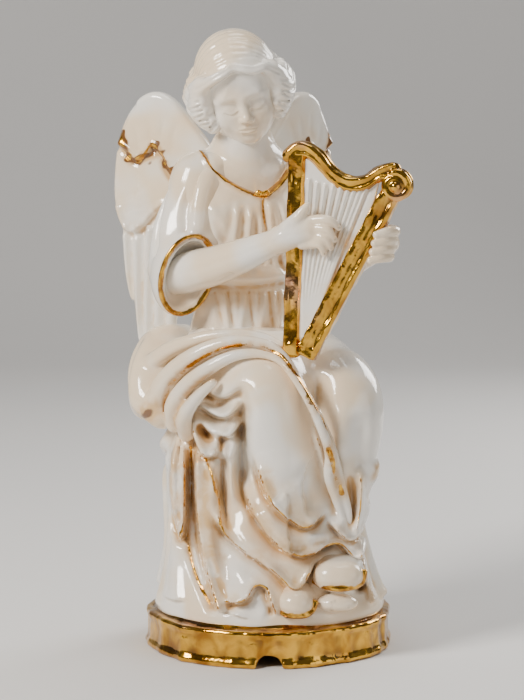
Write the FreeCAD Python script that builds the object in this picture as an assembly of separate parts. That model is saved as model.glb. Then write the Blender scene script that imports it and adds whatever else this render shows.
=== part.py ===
"""Seated angel playing a small harp: a hollow-cast glazed figurine on a gilt round plinth.

Millimetres, +Z up, -Y is the front of the figure, +X is the side on which the harp stands.
The origin is the centre of the plinth's foot ring, on the surface that the figurine stands on.
The castings meet face to face, each on its own tenon or spigot in a socket of its neighbour,
so every piece is a separate closed solid and no two of them overlap.
"""

import FreeCAD, Part
import math
import os

from FreeCAD import Matrix, Placement, Rotation, Vector

# ---- driving dimensions ----
PLINTH_R = 61.0
PLINTH_H = 19.0
PLINTH_WALL = 6.0
PLINTH_TOP = 5.0        # thickness of the plinth's top plate
NOTCH_R = 6.5           # half-round notch in the plinth's front edge
CASTING_WALL = 4.5      # wall of the hollow robe, torso and head castings
TORSO_TURN = 12.0       # degrees that the chest is turned towards +X
LAP_Z = 150.0           # top of the thighs
WAIST_Z = 176.0
SHOULDER_Z = 232.0
NECK = Vector(-11, 6, 238)
HEAD_CENTRE = Vector(-14.5, -1, 273)
HEAD_ROLL = 13.0        # degrees that the crown leans towards -X
HEAD_NOD = 20.0         # degrees that the face looks down
WING_THICKNESS = 7.0
WING_SWEEP = 33.0       # degrees that each wing is swept back from the shoulder line
HARP_FOOT = Vector(12, -41, 150)
HARP_TURN = 12.0        # degrees that the harp's plane is turned about Z
BAR_DEPTH = 8.0         # front-to-back depth of the harp's members
UP = Vector(0, 0, 1)


# ---- shape helpers ----
def turned(axis, degrees):
    return Rotation(axis, degrees)


def ellipse(centre, rx, ry, turn=0.0, tilt=None):
    """A closed elliptical wire, level unless a tilt is given, turned about its own normal."""
    if ry > rx:
        rx, ry, turn = ry, rx, turn + 90.0
    edge = Part.Ellipse(Vector(0, 0, 0), rx, ry).toShape()
    edge.Placement = Placement(centre, (tilt or Rotation()) * turned(UP, turn))
    return Part.Wire([edge])


def loft(*wires):
    return Part.makeLoft(list(wires), True, False)


def ellipsoid(centre, rx, ry, rz, rotation=None):
    """A solid ellipsoid with its radii along its own axes, then rotated and moved into place."""
    scale = Matrix()
    scale.A11, scale.A22, scale.A33 = rx, ry, rz
    solid = Part.makeSphere(1.0).transformGeometry(scale)
    solid.Placement = Placement(centre, rotation or Rotation())
    return solid


def limb(points, radii):
    """A tapered round limb: a cone along each stretch and a ball at each point."""
    pieces = [Part.makeSphere(radius, point) for point, radius in zip(points, radii)]
    for i in range(len(points) - 1):
        along = points[i + 1] - points[i]
        if abs(radii[i] - radii[i + 1]) < 1e-6:
            pieces.append(Part.makeCylinder(radii[i], along.Length, points[i], along))
        else:
            pieces.append(Part.makeCone(radii[i], radii[i + 1], along.Length, points[i], along))
    return pieces[0].multiFuse(pieces[1:])


def plate(outline, thickness):
    """A flat plate in the local XZ plane, centred on Y=0, bounded by a smooth closed outline."""
    curve = Part.BSplineCurve()
    curve.interpolate(Points=[Vector(x, -thickness / 2, z) for x, z in outline], PeriodicFlag=True)
    face = Part.Face(Part.Wire([curve.toShape()]))
    return face.extrude(Vector(0, thickness, 0))


def bar(points, width, depth):
    """A straight-sided bar along the local XZ polyline, width across it and depth along Y."""
    left, right = [], []
    last = len(points) - 1
    for i, (x, z) in enumerate(points):
        x0, z0 = points[max(i - 1, 0)]
        x1, z1 = points[min(i + 1, last)]
        size = math.hypot(x1 - x0, z1 - z0)
        nx, nz = -(z1 - z0) / size * width / 2, (x1 - x0) / size * width / 2
        left.append(Vector(x + nx, -depth / 2, z + nz))
        right.append(Vector(x - nx, -depth / 2, z - nz))
    if len(points) > 2:
        sides = []
        for row in (left, right[::-1]):
            curve = Part.BSplineCurve()
            curve.interpolate(Points=row)
            sides.append(curve.toShape())
        ends = [Part.makeLine(left[-1], right[-1]), Part.makeLine(right[0], left[0])]
        wire = Part.Wire([sides[0], ends[0], sides[1], ends[1]])
    else:
        wire = Part.makePolygon([*left, *right[::-1], left[0]])
    return Part.Face(wire).extrude(Vector(0, depth, 0))


def biggest(shape):
    """The largest solid of a shape, without the crumbs that a cut can leave."""
    return max(shape.Solids, key=lambda solid: solid.Volume)


# ---- plinth ----
def make_plinth():
    """A round gilt plinth, hollow underneath, with a half-round notch through its front wall."""
    body = Part.makeCylinder(PLINTH_R, PLINTH_H)
    top_edge = [e for e in body.Edges if abs(e.BoundBox.ZMin - PLINTH_H) < 1e-6 and e.Closed]
    body = body.makeFillet(1.5, top_edge[:1])
    hollow = Part.makeCylinder(PLINTH_R - PLINTH_WALL, PLINTH_H - PLINTH_TOP)
    notch = Part.makeCylinder(NOTCH_R, 2 * PLINTH_WALL, Vector(0, -PLINTH_R - 3, 0), Vector(0, 1, 0))
    return biggest(body.cut(hollow).cut(notch))


# ---- robe: seat, thighs and skirt in one hollow casting ----
# Level sections of the skirt: height, centre x, centre y, half width, half depth.
SKIRT = [
    (PLINTH_H, 0.5, 1, 57, 55),
    (45, 1, 0, 52.5, 52),
    (72, 0.5, -1, 48, 51),
    (100, 0.5, -2, 49, 51),
    (124, -1, -3, 53, 50),
    (142, -2, -2, 50, 46),
    (151, -3, 2, 40, 36),
]


def skirt_solid(inset, bottom, top_drop):
    rows = [(z, x, y, rx - inset, ry - inset) for z, x, y, rx, ry in SKIRT]
    first, last = rows[0], rows[-1]
    rows[0] = (bottom, *first[1:])
    rows[-1] = (last[0] - top_drop, *last[1:])
    return loft(*(ellipse(Vector(x, y, z), rx, ry) for z, x, y, rx, ry in rows))


def make_skirt():
    """The robe below the waist: a drum over the seat, with both thighs and shins standing out of it."""
    leg_radii = [23, 21, 17, 15]        # mid thigh, knee, shin, ankle
    right_leg = [Vector(-17, -10, 131), Vector(-13, -33, 128), Vector(-6, -38, 100), Vector(6, -38, 52)]
    left_leg = [Vector(23, -8, 127), Vector(34, -28, 122), Vector(35, -30, 96), Vector(33, -33, 52)]
    outer = skirt_solid(0, PLINTH_H, 0)
    for leg in (right_leg, left_leg):
        for joint, radius in zip(leg[:2], leg_radii[:2]):
            outer = outer.fuse(ellipsoid(joint, radius, radius, radius))
        outer = outer.fuse(limb(leg[1:], leg_radii[1:]))
    inner = skirt_solid(CASTING_WALL, PLINTH_H, CASTING_WALL + 4)
    return biggest(outer.cut(inner))


def make_mantle():
    """The cloak's loose end, thrown over the right hip and hanging out beside the seat."""
    over_hip = limb([Vector(-46, 33, 138), Vector(-52, 14, 138), Vector(-55, -4, 132)], [14, 17, 15])
    hanging = limb([Vector(-52, 14, 138), Vector(-58, 8, 121)], [17, 9])
    across_lap = limb([Vector(-55, -4, 132), Vector(-42, -18, 140), Vector(-22, -24, 149)], [13, 10, 7])
    return biggest(over_hip.multiFuse([hanging, across_lap]))


def make_foot(x, y, z, turn):
    """A shoe toe that shows under the hem."""
    along = turned(UP, turn).multVec(Vector(0, -1, 0))
    middle = Vector(x, y, z)
    return limb([middle - along * 8, middle + along * 6], [7.5, 9])


# ---- torso, neck and head ----
def make_torso():
    """Bodice from the waist spigot in the skirt up to the shoulders, hollow."""
    turn = TORSO_TURN
    rows = [
        (LAP_Z - 8, -12, 12, 30, 24),
        (LAP_Z + 8, -12, 10, 27, 20),
        (WAIST_Z, -12.5, 8, 23, 17),
        (198, -12, 8, 26, 19),
        (216, -12, 9, 31, 19),
        (SHOULDER_Z - 3, -12, 10, 29, 16),
        (SHOULDER_Z + 6, -11, 9, 22, 13),
        (SHOULDER_Z + 11, -11, 8, 15, 11),
    ]
    outer = loft(*(ellipse(Vector(x, y, z), rx, ry, turn) for z, x, y, rx, ry in rows))
    wall = CASTING_WALL
    lower_rows = rows[:5]
    inner = loft(*(
        ellipse(Vector(x, y, z + wall), rx - wall, ry - wall, turn) for z, x, y, rx, ry in lower_rows
    ))
    return biggest(outer.cut(inner))


def head_turn():
    return turned(Vector(0, 1, 0), -HEAD_ROLL) * turned(Vector(1, 0, 0), HEAD_NOD)


def make_head():
    """Head with its hair and the neck, whose lower end is a spigot in the bodice."""
    turn = head_turn()
    crown = ellipsoid(HEAD_CENTRE + Vector(-0.5, 4, 4), 24, 27, 26, turn)
    face = ellipsoid(HEAD_CENTRE + Vector(1, -5, -5), 18, 20, 24, turn)
    curl_heights = (6, -5, -15)
    curls = [
        ellipsoid(HEAD_CENTRE + turn.multVec(Vector(side * (20 - 0.02 * (z + 4) ** 2), 2, z)), 8, 11, 8, turn)
        for side in (-1, 1)
        for z in curl_heights
    ]
    neck_line = [NECK + Vector(0, 2, -8), NECK + Vector(0, 0, 4), HEAD_CENTRE + Vector(0, 4, -14)]
    neck = limb(neck_line, [14, 13, 13])
    whole = crown.multiFuse([face, *curls, neck])
    cavity = ellipsoid(HEAD_CENTRE + Vector(0, 2, 2), 15, 17, 17, turn)
    return biggest(whole.cut(cavity))


# ---- arms ----
def make_right_sleeve():
    """Wide bell sleeve from the shoulder to its open cuff, hollow at the mouth."""
    lean = turned(Vector(0, 1, 0), 12)
    arm = limb([Vector(-31, 10, 229), Vector(-36, 6, 214), Vector(-39, 2, 202)], [13, 14.5, 15])
    bell = ellipsoid(Vector(-40, -2, 190), 16, 17, 24, lean)
    mouth = ellipsoid(Vector(-33, -9, 183), 13, 15, 19, lean)
    return biggest(arm.fuse(bell).cut(mouth))


def make_right_forearm():
    """Bare forearm reaching across the body, with the hand plucking the strings."""
    forearm = limb(
        [Vector(-39, -9, 184), Vector(-24, -22, 187), Vector(-8, -36, 195), Vector(9, -46, 205)],
        [10, 10.5, 8.5, 5.5],
    )
    palm = ellipsoid(Vector(15, -49, 209), 11, 5.5, 8, turned(Vector(0, 1, 0), -20))
    fingers = [
        limb(
            [Vector(18, -50, 212 - 4 * i), Vector(25, -51, 211 - 4.2 * i), Vector(30, -49, 208 - 4.4 * i)],
            [2.6, 2.5, 2.0],
        )
        for i in range(3)
    ]
    thumb = limb([Vector(10, -49, 210), Vector(14, -50, 216), Vector(18, -50, 220)], [3.0, 2.7, 2.1])
    return biggest(forearm.multiFuse([palm, thumb, *fingers]))


def make_left_sleeve():
    """The far sleeve, gathered behind the harp."""
    return limb(
        [Vector(8, 8, 229), Vector(17, 0, 214), Vector(26, -9, 197), Vector(32, -16, 190)],
        [13, 13.5, 12, 10.5],
    )


def make_left_forearm():
    """Forearm that comes round behind the harp, with the hand holding its soundbox."""
    forearm = limb([Vector(28, -14, 189), Vector(38, -24, 190), Vector(47, -34, 195)], [8, 6.5, 5.5])
    hand = ellipsoid(Vector(54, -46, 202), 7.5, 11, 9.5, turned(UP, -15))
    heel = limb([Vector(46, -33, 196), Vector(52, -38, 200), Vector(56, -43, 202)], [6, 6.5, 6.5])
    return biggest(forearm.multiFuse([heel, hand]))


# ---- wings ----
# Outline of one wing: distance out from its root and height below its top.
WING = [
    (2, -38), (12, -25), (25, -8), (38, 0), (50, -9), (57, -22), (60.5, -42), (57, -66),
    (52, -94), (47, -120), (39, -137), (30, -126), (20, -98), (7, -72), (0, -54),
]


def make_wing(side):
    """One swept-back wing with a tenon that sits in a socket in the shoulder blade."""
    outline = [(side * out, down) for out, down in WING]
    blade = plate(outline, WING_THICKNESS)
    tenon = Part.makeCylinder(4.5, 18, Vector(side * 12, 0, -46), Vector(-side, -0.35, 0))
    wing = biggest(blade.fuse(tenon))
    turn = turned(UP, TORSO_TURN + side * WING_SWEEP)
    root = Vector(-12, 9, 272) + turned(UP, TORSO_TURN).multVec(Vector(side * 6, 18, 0))
    wing.Placement = Placement(root, turn)
    return wing


# ---- harp, in a plane turned about Z: u to the right, v up from its foot ----
PILLAR = [(-1.5, 2), (2.0, 90)]
SOUNDBOX = [(8, 0), (49, 78)]
NECK_CURVE = [(-0.5, 91), (5, 94.5), (12, 91), (18.5, 82.5), (26, 78.5), (35, 80), (42, 84.5)]
FINIAL = (48.5, 78.5)


def in_harp(shape):
    shape.Placement = Placement(HARP_FOOT, turned(UP, -HARP_TURN)).multiply(shape.Placement)
    return shape


def make_harp_parts():
    """Straight pillar, S-curved neck with a scroll, square soundbox, and the cast web of strings."""
    pillar = in_harp(bar(PILLAR, 6.5, BAR_DEPTH))
    soundbox = in_harp(bar(SOUNDBOX, 9.0, BAR_DEPTH + 1))
    neck = bar(NECK_CURVE, 7.0, BAR_DEPTH)
    u, v = FINIAL
    scroll = Part.makeCylinder(7.0, BAR_DEPTH + 3, Vector(u, -BAR_DEPTH / 2 - 1.5, v), Vector(0, 1, 0))
    neck = in_harp(biggest(neck.fuse(scroll)))
    corners = [(1.5, 6), (4.5, 88), (10, 90), (20, 81), (36, 80), (40, 77), (26.5, 44), (7.5, 4)]
    points = [Vector(a, -1.5, b) for a, b in corners]
    web = in_harp(Part.Face(Part.makePolygon([*points, points[0]])).extrude(Vector(0, 3, 0)))
    return {"harp_pillar": pillar, "harp_soundbox": soundbox, "harp_neck": neck, "harp_string_web": web}


# ---- assembly ----
def build():
    """Every casting by name. A piece is cut by the ones before it, which makes its sockets."""
    whole = {
        "plinth": make_plinth(),
        "right_wing": make_wing(-1),
        "left_wing": make_wing(1),
        "head": make_head(),
        **make_harp_parts(),
        "right_forearm": make_right_forearm(),
        "left_forearm": make_left_forearm(),
        "torso": make_torso(),
        "right_sleeve": make_right_sleeve(),
        "left_sleeve": make_left_sleeve(),
        "skirt": make_skirt(),
        "mantle": make_mantle(),
        "right_foot": make_foot(13, -47, PLINTH_H + 11, 10),
        "left_foot": make_foot(33, -42, PLINTH_H + 22, 25),
    }
    done = {}
    for name, shape in whole.items():
        for other in done.values():
            if shape.BoundBox.intersect(other.BoundBox):
                shape = shape.cut(other)
        done[name] = biggest(shape)
    return done


def main():
    os.makedirs("parts", exist_ok=True)
    for name, solid in build().items():
        box = solid.BoundBox
        solid.exportStep(f"parts/{name}.step")
        print(f"{name:16s} valid={solid.isValid()} volume={solid.Volume / 1000:8.2f} cm3 "
              f"x {box.XMin:6.1f}..{box.XMax:6.1f} y {box.YMin:6.1f}..{box.YMax:6.1f} "
              f"z {box.ZMin:6.1f}..{box.ZMax:6.1f}")


main()
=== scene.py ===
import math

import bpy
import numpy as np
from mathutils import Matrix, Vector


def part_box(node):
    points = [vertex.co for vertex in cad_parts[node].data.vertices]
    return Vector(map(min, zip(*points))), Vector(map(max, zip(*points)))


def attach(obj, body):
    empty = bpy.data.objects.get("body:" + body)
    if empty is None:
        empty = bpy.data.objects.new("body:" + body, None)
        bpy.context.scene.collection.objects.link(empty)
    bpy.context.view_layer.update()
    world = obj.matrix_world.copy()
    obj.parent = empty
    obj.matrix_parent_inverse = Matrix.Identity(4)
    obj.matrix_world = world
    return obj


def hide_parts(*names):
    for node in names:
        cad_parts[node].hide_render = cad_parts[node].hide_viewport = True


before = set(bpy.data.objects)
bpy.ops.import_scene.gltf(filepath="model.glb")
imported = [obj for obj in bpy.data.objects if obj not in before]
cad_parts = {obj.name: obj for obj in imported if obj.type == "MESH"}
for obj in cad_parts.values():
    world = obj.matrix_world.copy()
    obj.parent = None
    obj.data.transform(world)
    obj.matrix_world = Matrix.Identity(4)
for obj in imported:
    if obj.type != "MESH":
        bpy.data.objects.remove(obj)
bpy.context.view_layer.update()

# Seated angel with a harp, glazed and gilt, sculpted around its packed castings.
# Each piece is modelled like soft clay: a grid of distances to its surface, built up from rounded
# strokes and low relief, is turned into a mesh. Lengths are millimetres until a piece is made.
# Along with the form go the decorator's marks: how far inside a gold line a point is, how much amber glaze
# has run over it, and how strongly it is stained (under one toe, painted shade). With them goes how deep it
# lies in a hollow, which the glazes paint as amber, partly pooled glaze and partly painted shade, and as
# brown painted shade.

import openvdb as vdb
from mathutils import Matrix, Vector

MM = 0.001
FAR = 50.0                               # distance given to grid points far from any clay
NO_GOLD = -9.0                           # gold layer's value where there is no gold line
COARSE = 1.0      # voxels grow by this much


def node_box(name):
    """Lowest corner, highest corner and middle of a CAD node, in millimetres."""
    low, high = (np.array(corner, float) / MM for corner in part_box(name))
    return low, high, (low + high) / 2


DECK = node_box("plinth")[1][2]          # height of the plinth's top


# ---------------------------------------------------------------- numbers
def rise(x, low=0.0, high=1.0):
    """0 up to low, 1 from high on, and smooth between."""
    t = np.clip((x - low) / (high - low), 0, 1)
    return t * t * (3 - 2 * t)


def turn(axis, degrees):
    """A rotation matrix."""
    return np.array(Matrix.Rotation(math.radians(degrees), 3, axis))


def smooth_line(points, spacing=1.0, across=3):
    """Points along a smooth curve through a few; columns past the first `across` are carried along."""
    p = np.asarray(points, float)
    q = np.vstack([2 * p[0] - p[1], p, 2 * p[-1] - p[-2]])
    rows = []
    for a, b, c, d in zip(q, q[1:], q[2:], q[3:]):
        count = max(2, int(np.linalg.norm((c - b)[:across]) / spacing))
        t = np.linspace(0, 1, count, endpoint=False)[:, None]
        rows.append(0.5 * (2 * b + (c - a) * t + (2 * a - 5 * b + 4 * c - d) * t**2
                           + (3 * b - a - 3 * c + d) * t**3))
    return np.vstack([*rows, p[-1:]])


def waves(seed, count, longest, shortest):
    """A smooth random field of position, about -1..1, as a function of x, y, z."""
    dice = np.random.default_rng(seed)
    length = np.geomspace(longest, shortest, count)
    way = dice.normal(size=(count, 3))
    way *= (2 * math.pi / length / np.linalg.norm(way, axis=1))[:, None]
    shift = dice.uniform(0, 2 * math.pi, count)
    size = np.sqrt(length / length.sum())

    def field(x, y, z):
        return sum(s * np.sin(w[0] * x + w[1] * y + w[2] * z + f) for s, w, f in zip(size, way, shift))
    return field


def round_max(a, b, soft):
    """The larger of two distance fields, with a rounded edge where they meet."""
    mix = np.clip(0.5 - 0.5 * (a - b) / soft, 0, 1)
    return a * (1 - mix) + b * mix + soft * mix * (1 - mix)


# ---------------------------------------------------------------- clay
class Clay:
    """A grid of signed distances to a surface, negative inside, between two corners."""

    def __init__(self, low, high, step):
        self.low = np.array(low, float)
        self.step = step * COARSE
        count = np.ceil((np.array(high) - self.low) / self.step).astype(int) + 1
        self.field = np.full(count, FAR, np.float32)
        self.axes = [(self.low[i] + self.step * np.arange(count[i])).astype(np.float32) for i in range(3)]

    def grid(self):
        """The grid's coordinates, ready to broadcast."""
        return np.meshgrid(*self.axes, indexing="ij", sparse=True)

    def window(self, low, high):
        """The part of the grid between two corners: its slices and its coordinates."""
        first = np.clip(np.floor((low - self.low) / self.step).astype(int), 0, np.array(self.field.shape) - 1)
        last = np.clip(np.ceil((high - self.low) / self.step).astype(int) + 1, 1, self.field.shape)
        where = tuple(slice(a, max(b, a + 1)) for a, b in zip(first, last))
        axes = [axis[part] for axis, part in zip(self.axes, where)]
        return where, np.meshgrid(*axes, indexing="ij", sparse=True)

    def blend(self, where, other, soft, carve=False):
        """Joins another distance field to the clay, or carves it out, with a rounded join."""
        mine = self.field[where]
        sign = -1.0 if carve else 1.0
        mine = mine * sign
        mix = np.clip(0.5 + 0.5 * (mine - other) / max(soft, 1e-3), 0, 1)
        self.field[where] = sign * (mine * (1 - mix) + other * mix - soft * mix * (1 - mix))

    def join(self, other, soft, carve=False):
        """Blends in a distance field given over the whole grid."""
        self.blend((slice(None),) * 3, np.asarray(other, np.float32), soft, carve)

    def stroke(self, points, soft=2.0, carve=False, spacing=None, flat=None):
        """A tapered round stroke along a smooth curve; each point is x, y, z, radius.

        `flat` is (direction, factor): the stroke is that many times thinner along that direction.
        """
        line = smooth_line(points, spacing or max(self.step, 0.8))
        margin = line[:, 3].max() + soft + 2 * self.step
        where, (x, y, z) = self.window(line[:, :3].min(0) - margin, line[:, :3].max(0) + margin)
        shape = np.broadcast_shapes(x.shape, y.shape, z.shape)
        near = np.full(shape, FAR, np.float32)
        start = np.array([part.start for part in where])
        for a, b in zip(line, line[1:]):
            part, (px, py, pz) = self.window(np.minimum(a, b)[:3] - margin, np.maximum(a, b)[:3] + margin)
            inner = tuple(slice(s.start - o, s.stop - o) for s, o in zip(part, start))
            near[inner] = np.minimum(near[inner], round_cone(px, py, pz, a, b, flat))
        self.blend(where, near, soft, carve)

    def ball(self, centre, radii, spin=None, soft=2.0, carve=False):
        """An ellipsoid whose radii lie along axes turned by a rotation matrix."""
        radii = np.broadcast_to(np.array(radii, float), 3)
        margin = radii.max() + soft + 2 * self.step
        centre = np.array(centre, float)
        where, (x, y, z) = self.window(centre - margin, centre + margin)
        spin = np.eye(3) if spin is None else spin
        offset = (x - centre[0], y - centre[1], z - centre[2])
        local = [sum(spin[j, i] * offset[j] for j in range(3)) / radii[i] for i in range(3)]
        k0 = np.sqrt(sum(v * v for v in local))
        k1 = np.sqrt(sum((v / r) ** 2 for v, r in zip(local, radii))) + 1e-6
        self.blend(where, (k0 * (k0 - 1) / k1).astype(np.float32), soft, carve)

    def drop(self, points, lift=0.0, way=(0, 1, 0), start=None):
        """Points moved along `way` from outside until they meet the surface, less `lift`."""
        way = np.array(way, float)
        out = []
        for point in np.asarray(points, float):
            travel = np.arange(0, 160, self.step * 0.5)
            origin = point[:3] - way * (80 if start is None else start)
            path = origin + travel[:, None] * way
            index = np.rint((path - self.low) / self.step).astype(int)
            inside = ((index >= 0) & (index < self.field.shape)).all(1)
            index = np.clip(index, 0, np.array(self.field.shape) - 1)
            value = np.where(inside, self.field[tuple(index.T)], FAR)
            hit = np.argmax(value < 0)
            out.append([*(path[hit] - way * lift), *point[3:]])
        return np.array(out)

    def mesh(self, rounds=2):
        """Points and outward quads of the surface, without its crumbs, lightly relaxed."""
        band = 3.0 * self.step
        grid = vdb.FloatGrid(band)
        grid.copyFromArray(np.clip(self.field, -band, band).astype(np.float32))
        points, quads = grid.convertToQuads(0.0)
        points, quads = largest_island(np.asarray(points, float), np.asarray(quads))
        return relax(self.low + points * self.step, quads, rounds), quads


def largest_island(points, quads):
    """Leaves out crumbs and bubbles: only the biggest connected surface is kept."""
    label = np.arange(len(points))
    while True:
        lowest = label.copy()
        np.minimum.at(lowest, quads, label[quads].min(1, keepdims=True))
        lowest = lowest[lowest]
        if (lowest == label).all():
            break
        label = lowest
    island = label[quads[:, 0]]
    kept = quads[island == np.bincount(island).argmax()]
    used, renumbered = np.unique(kept, return_inverse=True)
    return points[used], renumbered.reshape(kept.shape)


def round_cone(x, y, z, a, b, flat=None):
    """Distance to a ball-ended tapered rod from a to b, each x, y, z, radius."""
    way = b[:3] - a[:3]
    size = max(float(way @ way), 1e-9)
    dx, dy, dz = x - a[0], y - a[1], z - a[2]
    t = np.clip((dx * way[0] + dy * way[1] + dz * way[2]) / size, 0, 1)
    dx, dy, dz = dx - t * way[0], dy - t * way[1], dz - t * way[2]
    square = dx * dx + dy * dy + dz * dz
    if flat is not None:
        n, factor = np.array(flat[0], float), flat[1]
        along = dx * n[0] + dy * n[1] + dz * n[2]
        square = square + along * along * (factor * factor - 1)
    return (np.sqrt(square) - (a[3] + t * (b[3] - a[3]))).astype(np.float32)


def neighbour_mean(values, quads):
    """The mean of each point's neighbours along the quads' edges."""
    quads = np.asarray(quads)
    first = quads.ravel()
    second = np.roll(quads, -1, axis=1).ravel()
    count = np.bincount(first, minlength=len(values)) + np.bincount(second, minlength=len(values))
    columns = values.reshape(len(values), -1).T
    total = [np.bincount(first, c[second], len(values)) + np.bincount(second, c[first], len(values))
             for c in columns]
    return (np.array(total).T / np.maximum(count, 1)[:, None]).reshape(values.shape)


def relax(points, quads, rounds):
    """Smooths a mesh without shrinking it."""
    for _ in range(rounds):
        points = points + 0.5 * (neighbour_mean(points, quads) - points)
        points = points - 0.52 * (neighbour_mean(points, quads) - points)
    return points


def normals_of(points, quads):
    """Outward unit normals at the points."""
    a, b, c, d = (points[quads[:, i]] for i in range(4))
    face = np.cross(c - a, d - b)
    total = np.zeros_like(points)
    for i in range(4):
        for axis in range(3):
            total[:, axis] += np.bincount(quads[:, i], face[:, axis], len(points))
    return total / np.maximum(np.linalg.norm(total, axis=1), 1e-9)[:, None]


def hollows(points, quads, rounds=26):
    """How many millimetres each point lies below its smoothed surroundings."""
    soft = points
    for _ in range(rounds):
        soft = neighbour_mean(soft, quads)
    return ((soft - points) * normals_of(points, quads)).sum(1)


# ---------------------------------------------------------------- relief
class Relief:
    """A height map over two coordinates, in millimetres, with the glaze and gold that go with it."""

    def __init__(self, u, v):
        self.u, self.v = u, v
        shape = (len(u), len(v))
        self.height = np.zeros(shape, np.float32)
        self.gold = np.full(shape, NO_GOLD, np.float32)
        self.amber = np.zeros(shape, np.float32)

    def measure(self, points, reach):
        """Near a curve: the window, the distance from it (positive on its left) and how far along."""
        line = smooth_line(points, 1.0, 2)[:, :2]
        step_u, step_v = self.u[1] - self.u[0], self.v[1] - self.v[0]
        low = np.floor((line.min(0) - reach - (self.u[0], self.v[0])) / (step_u, step_v)).astype(int)
        high = np.ceil((line.max(0) + reach - (self.u[0], self.v[0])) / (step_u, step_v)).astype(int) + 1
        low = np.clip(low, 0, (len(self.u) - 1, len(self.v) - 1))
        high = np.clip(high, low + 1, (len(self.u), len(self.v)))
        where = (slice(low[0], high[0]), slice(low[1], high[1]))
        u, v = self.u[where[0]][:, None], self.v[where[1]][None, :]
        best = np.full((u.shape[0], v.shape[1]), 1e3)
        side, along = np.zeros_like(best), np.zeros_like(best)
        count = len(line) - 1
        for i, (a, b) in enumerate(zip(line, line[1:])):
            du, dv = b - a
            t = np.clip(((u - a[0]) * du + (v - a[1]) * dv) / max(du * du + dv * dv, 1e-9), 0, 1)
            pu, pv = u - a[0] - t * du, v - a[1] - t * dv
            gap = np.hypot(pu, pv)
            closer = gap < best
            best = np.where(closer, gap, best)
            side = np.where(closer, np.sign(du * pv - dv * pu), side)
            along = np.where(closer, (i + t) / count, along)
        return where, best * np.where(side < 0, -1, 1), along

    def paint(self, where, strength, gold=None, amber=None):
        """Raises the gold and amber layers in a window where the strength allows it."""
        if gold is not None:
            self.gold[where] = np.maximum(self.gold[where], np.where(strength > 0.02, gold, NO_GOLD))
        if amber is not None:
            self.amber[where] = np.maximum(self.amber[where], amber * strength)

    def fold(self, points, height, left=3.0, right=3.0, ends=(0.3, 0.3), gold=0.0, amber=0.0):
        """A ridge along a curve, or a valley where the height is negative; soft on either side."""
        where, gap, along = self.measure(points, 2.6 * max(left, right))
        taper = rise(along, 0, ends[0]) * rise(1 - along, 0, ends[1])
        shape = np.exp(-(gap / np.where(gap > 0, left, right)) ** 2)
        self.height[where] += height * taper * shape
        self.paint(where, taper, gold * taper - abs(gap) if gold else None)
        self.paint(where, taper * shape, amber=amber)

    def hem(self, points, lift=2.2, reach=22.0, ends=(0.15, 0.15), gold=0.9, amber=0.5, lip=0.8, under=1.3):
        """A cloth edge: the sheet on the left of the curve lies over what is on its right."""
        where, gap, along = self.measure(points, 2.2 * reach)
        taper = rise(along, 0, ends[0]) * rise(1 - along, 0, ends[1])
        sheet = rise(gap, -0.7, 0.7) * np.exp(-(np.maximum(gap, 0) / reach) ** 2)
        edge = np.exp(-((gap - 1.6) / 1.6) ** 2)
        shadow = np.exp(-((gap + 1.6) / 1.5) ** 2)
        self.height[where] += taper * (lift * sheet + lip * edge - under * shadow)
        self.paint(where, taper, gold * rise(taper, 0, 0.5) - abs(gap - 0.6) if gold else None)
        wash = np.maximum(np.exp(-((gap - 0.4) / 3.0) ** 2),
                          0.62 * np.exp(-((gap - 2.0) / 9.0) ** 2) * (gap > -2))
        self.paint(where, taper * wash, amber=amber)

    def at(self, layer, u, v):
        """A layer's value between its grid points, for any u and v."""
        fu = np.clip((u - self.u[0]) / (self.u[1] - self.u[0]), 0, len(self.u) - 1.001)
        fv = np.clip((v - self.v[0]) / (self.v[1] - self.v[0]), 0, len(self.v) - 1.001)
        iu, iv = fu.astype(int), fv.astype(int)
        tu, tv = fu - iu, fv - iv
        return ((layer[iu, iv] * (1 - tu) + layer[iu + 1, iv] * tu) * (1 - tv)
                + (layer[iu, iv + 1] * (1 - tu) + layer[iu + 1, iv + 1] * tu) * tv)

    def seen(self, layer, points):
        """A layer's value at points, for a relief drawn across and up."""
        return self.at(layer, points[:, 0], points[:, 2])


# ---------------------------------------------------------------- pieces
def make_piece(name, node, material, points, quads, gold=None, amber=None, dark=None):
    """A smooth-shaded mesh from millimetre points, riding on the figure in place of a CAD node."""
    mesh = bpy.data.meshes.new(name)
    mesh.from_pydata((points * MM).tolist(), [], np.asarray(quads).tolist())
    mesh.shade_smooth()
    layers = {
        "gold": gold if gold is not None else np.full(len(points), NO_GOLD),
        "amber": amber if amber is not None else np.zeros(len(points)),
        "dark": dark if dark is not None else np.zeros(len(points)),
        "hollow": hollows(points, quads),
    }
    for key, values in layers.items():
        layer = mesh.attributes.new(key, "FLOAT", "POINT")
        layer.data.foreach_set("value", np.asarray(values, np.float32))
    mesh.materials.append(material)
    piece = bpy.data.objects.new(name, mesh)
    bpy.context.collection.objects.link(piece)
    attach(piece, "root")
    if node:
        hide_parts(node)
    return piece


def near_line(points, line):
    """Distance from each point to a curve given by closely spaced points."""
    best = np.full(len(points), 1e6)
    for a, b in zip(line, line[1:]):
        way = b - a
        t = np.clip(((points - a) @ way) / max(way @ way, 1e-9), 0, 1)[:, None]
        best = np.minimum(best, ((points - a - t * way) ** 2).sum(1))
    return np.sqrt(best)


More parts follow.
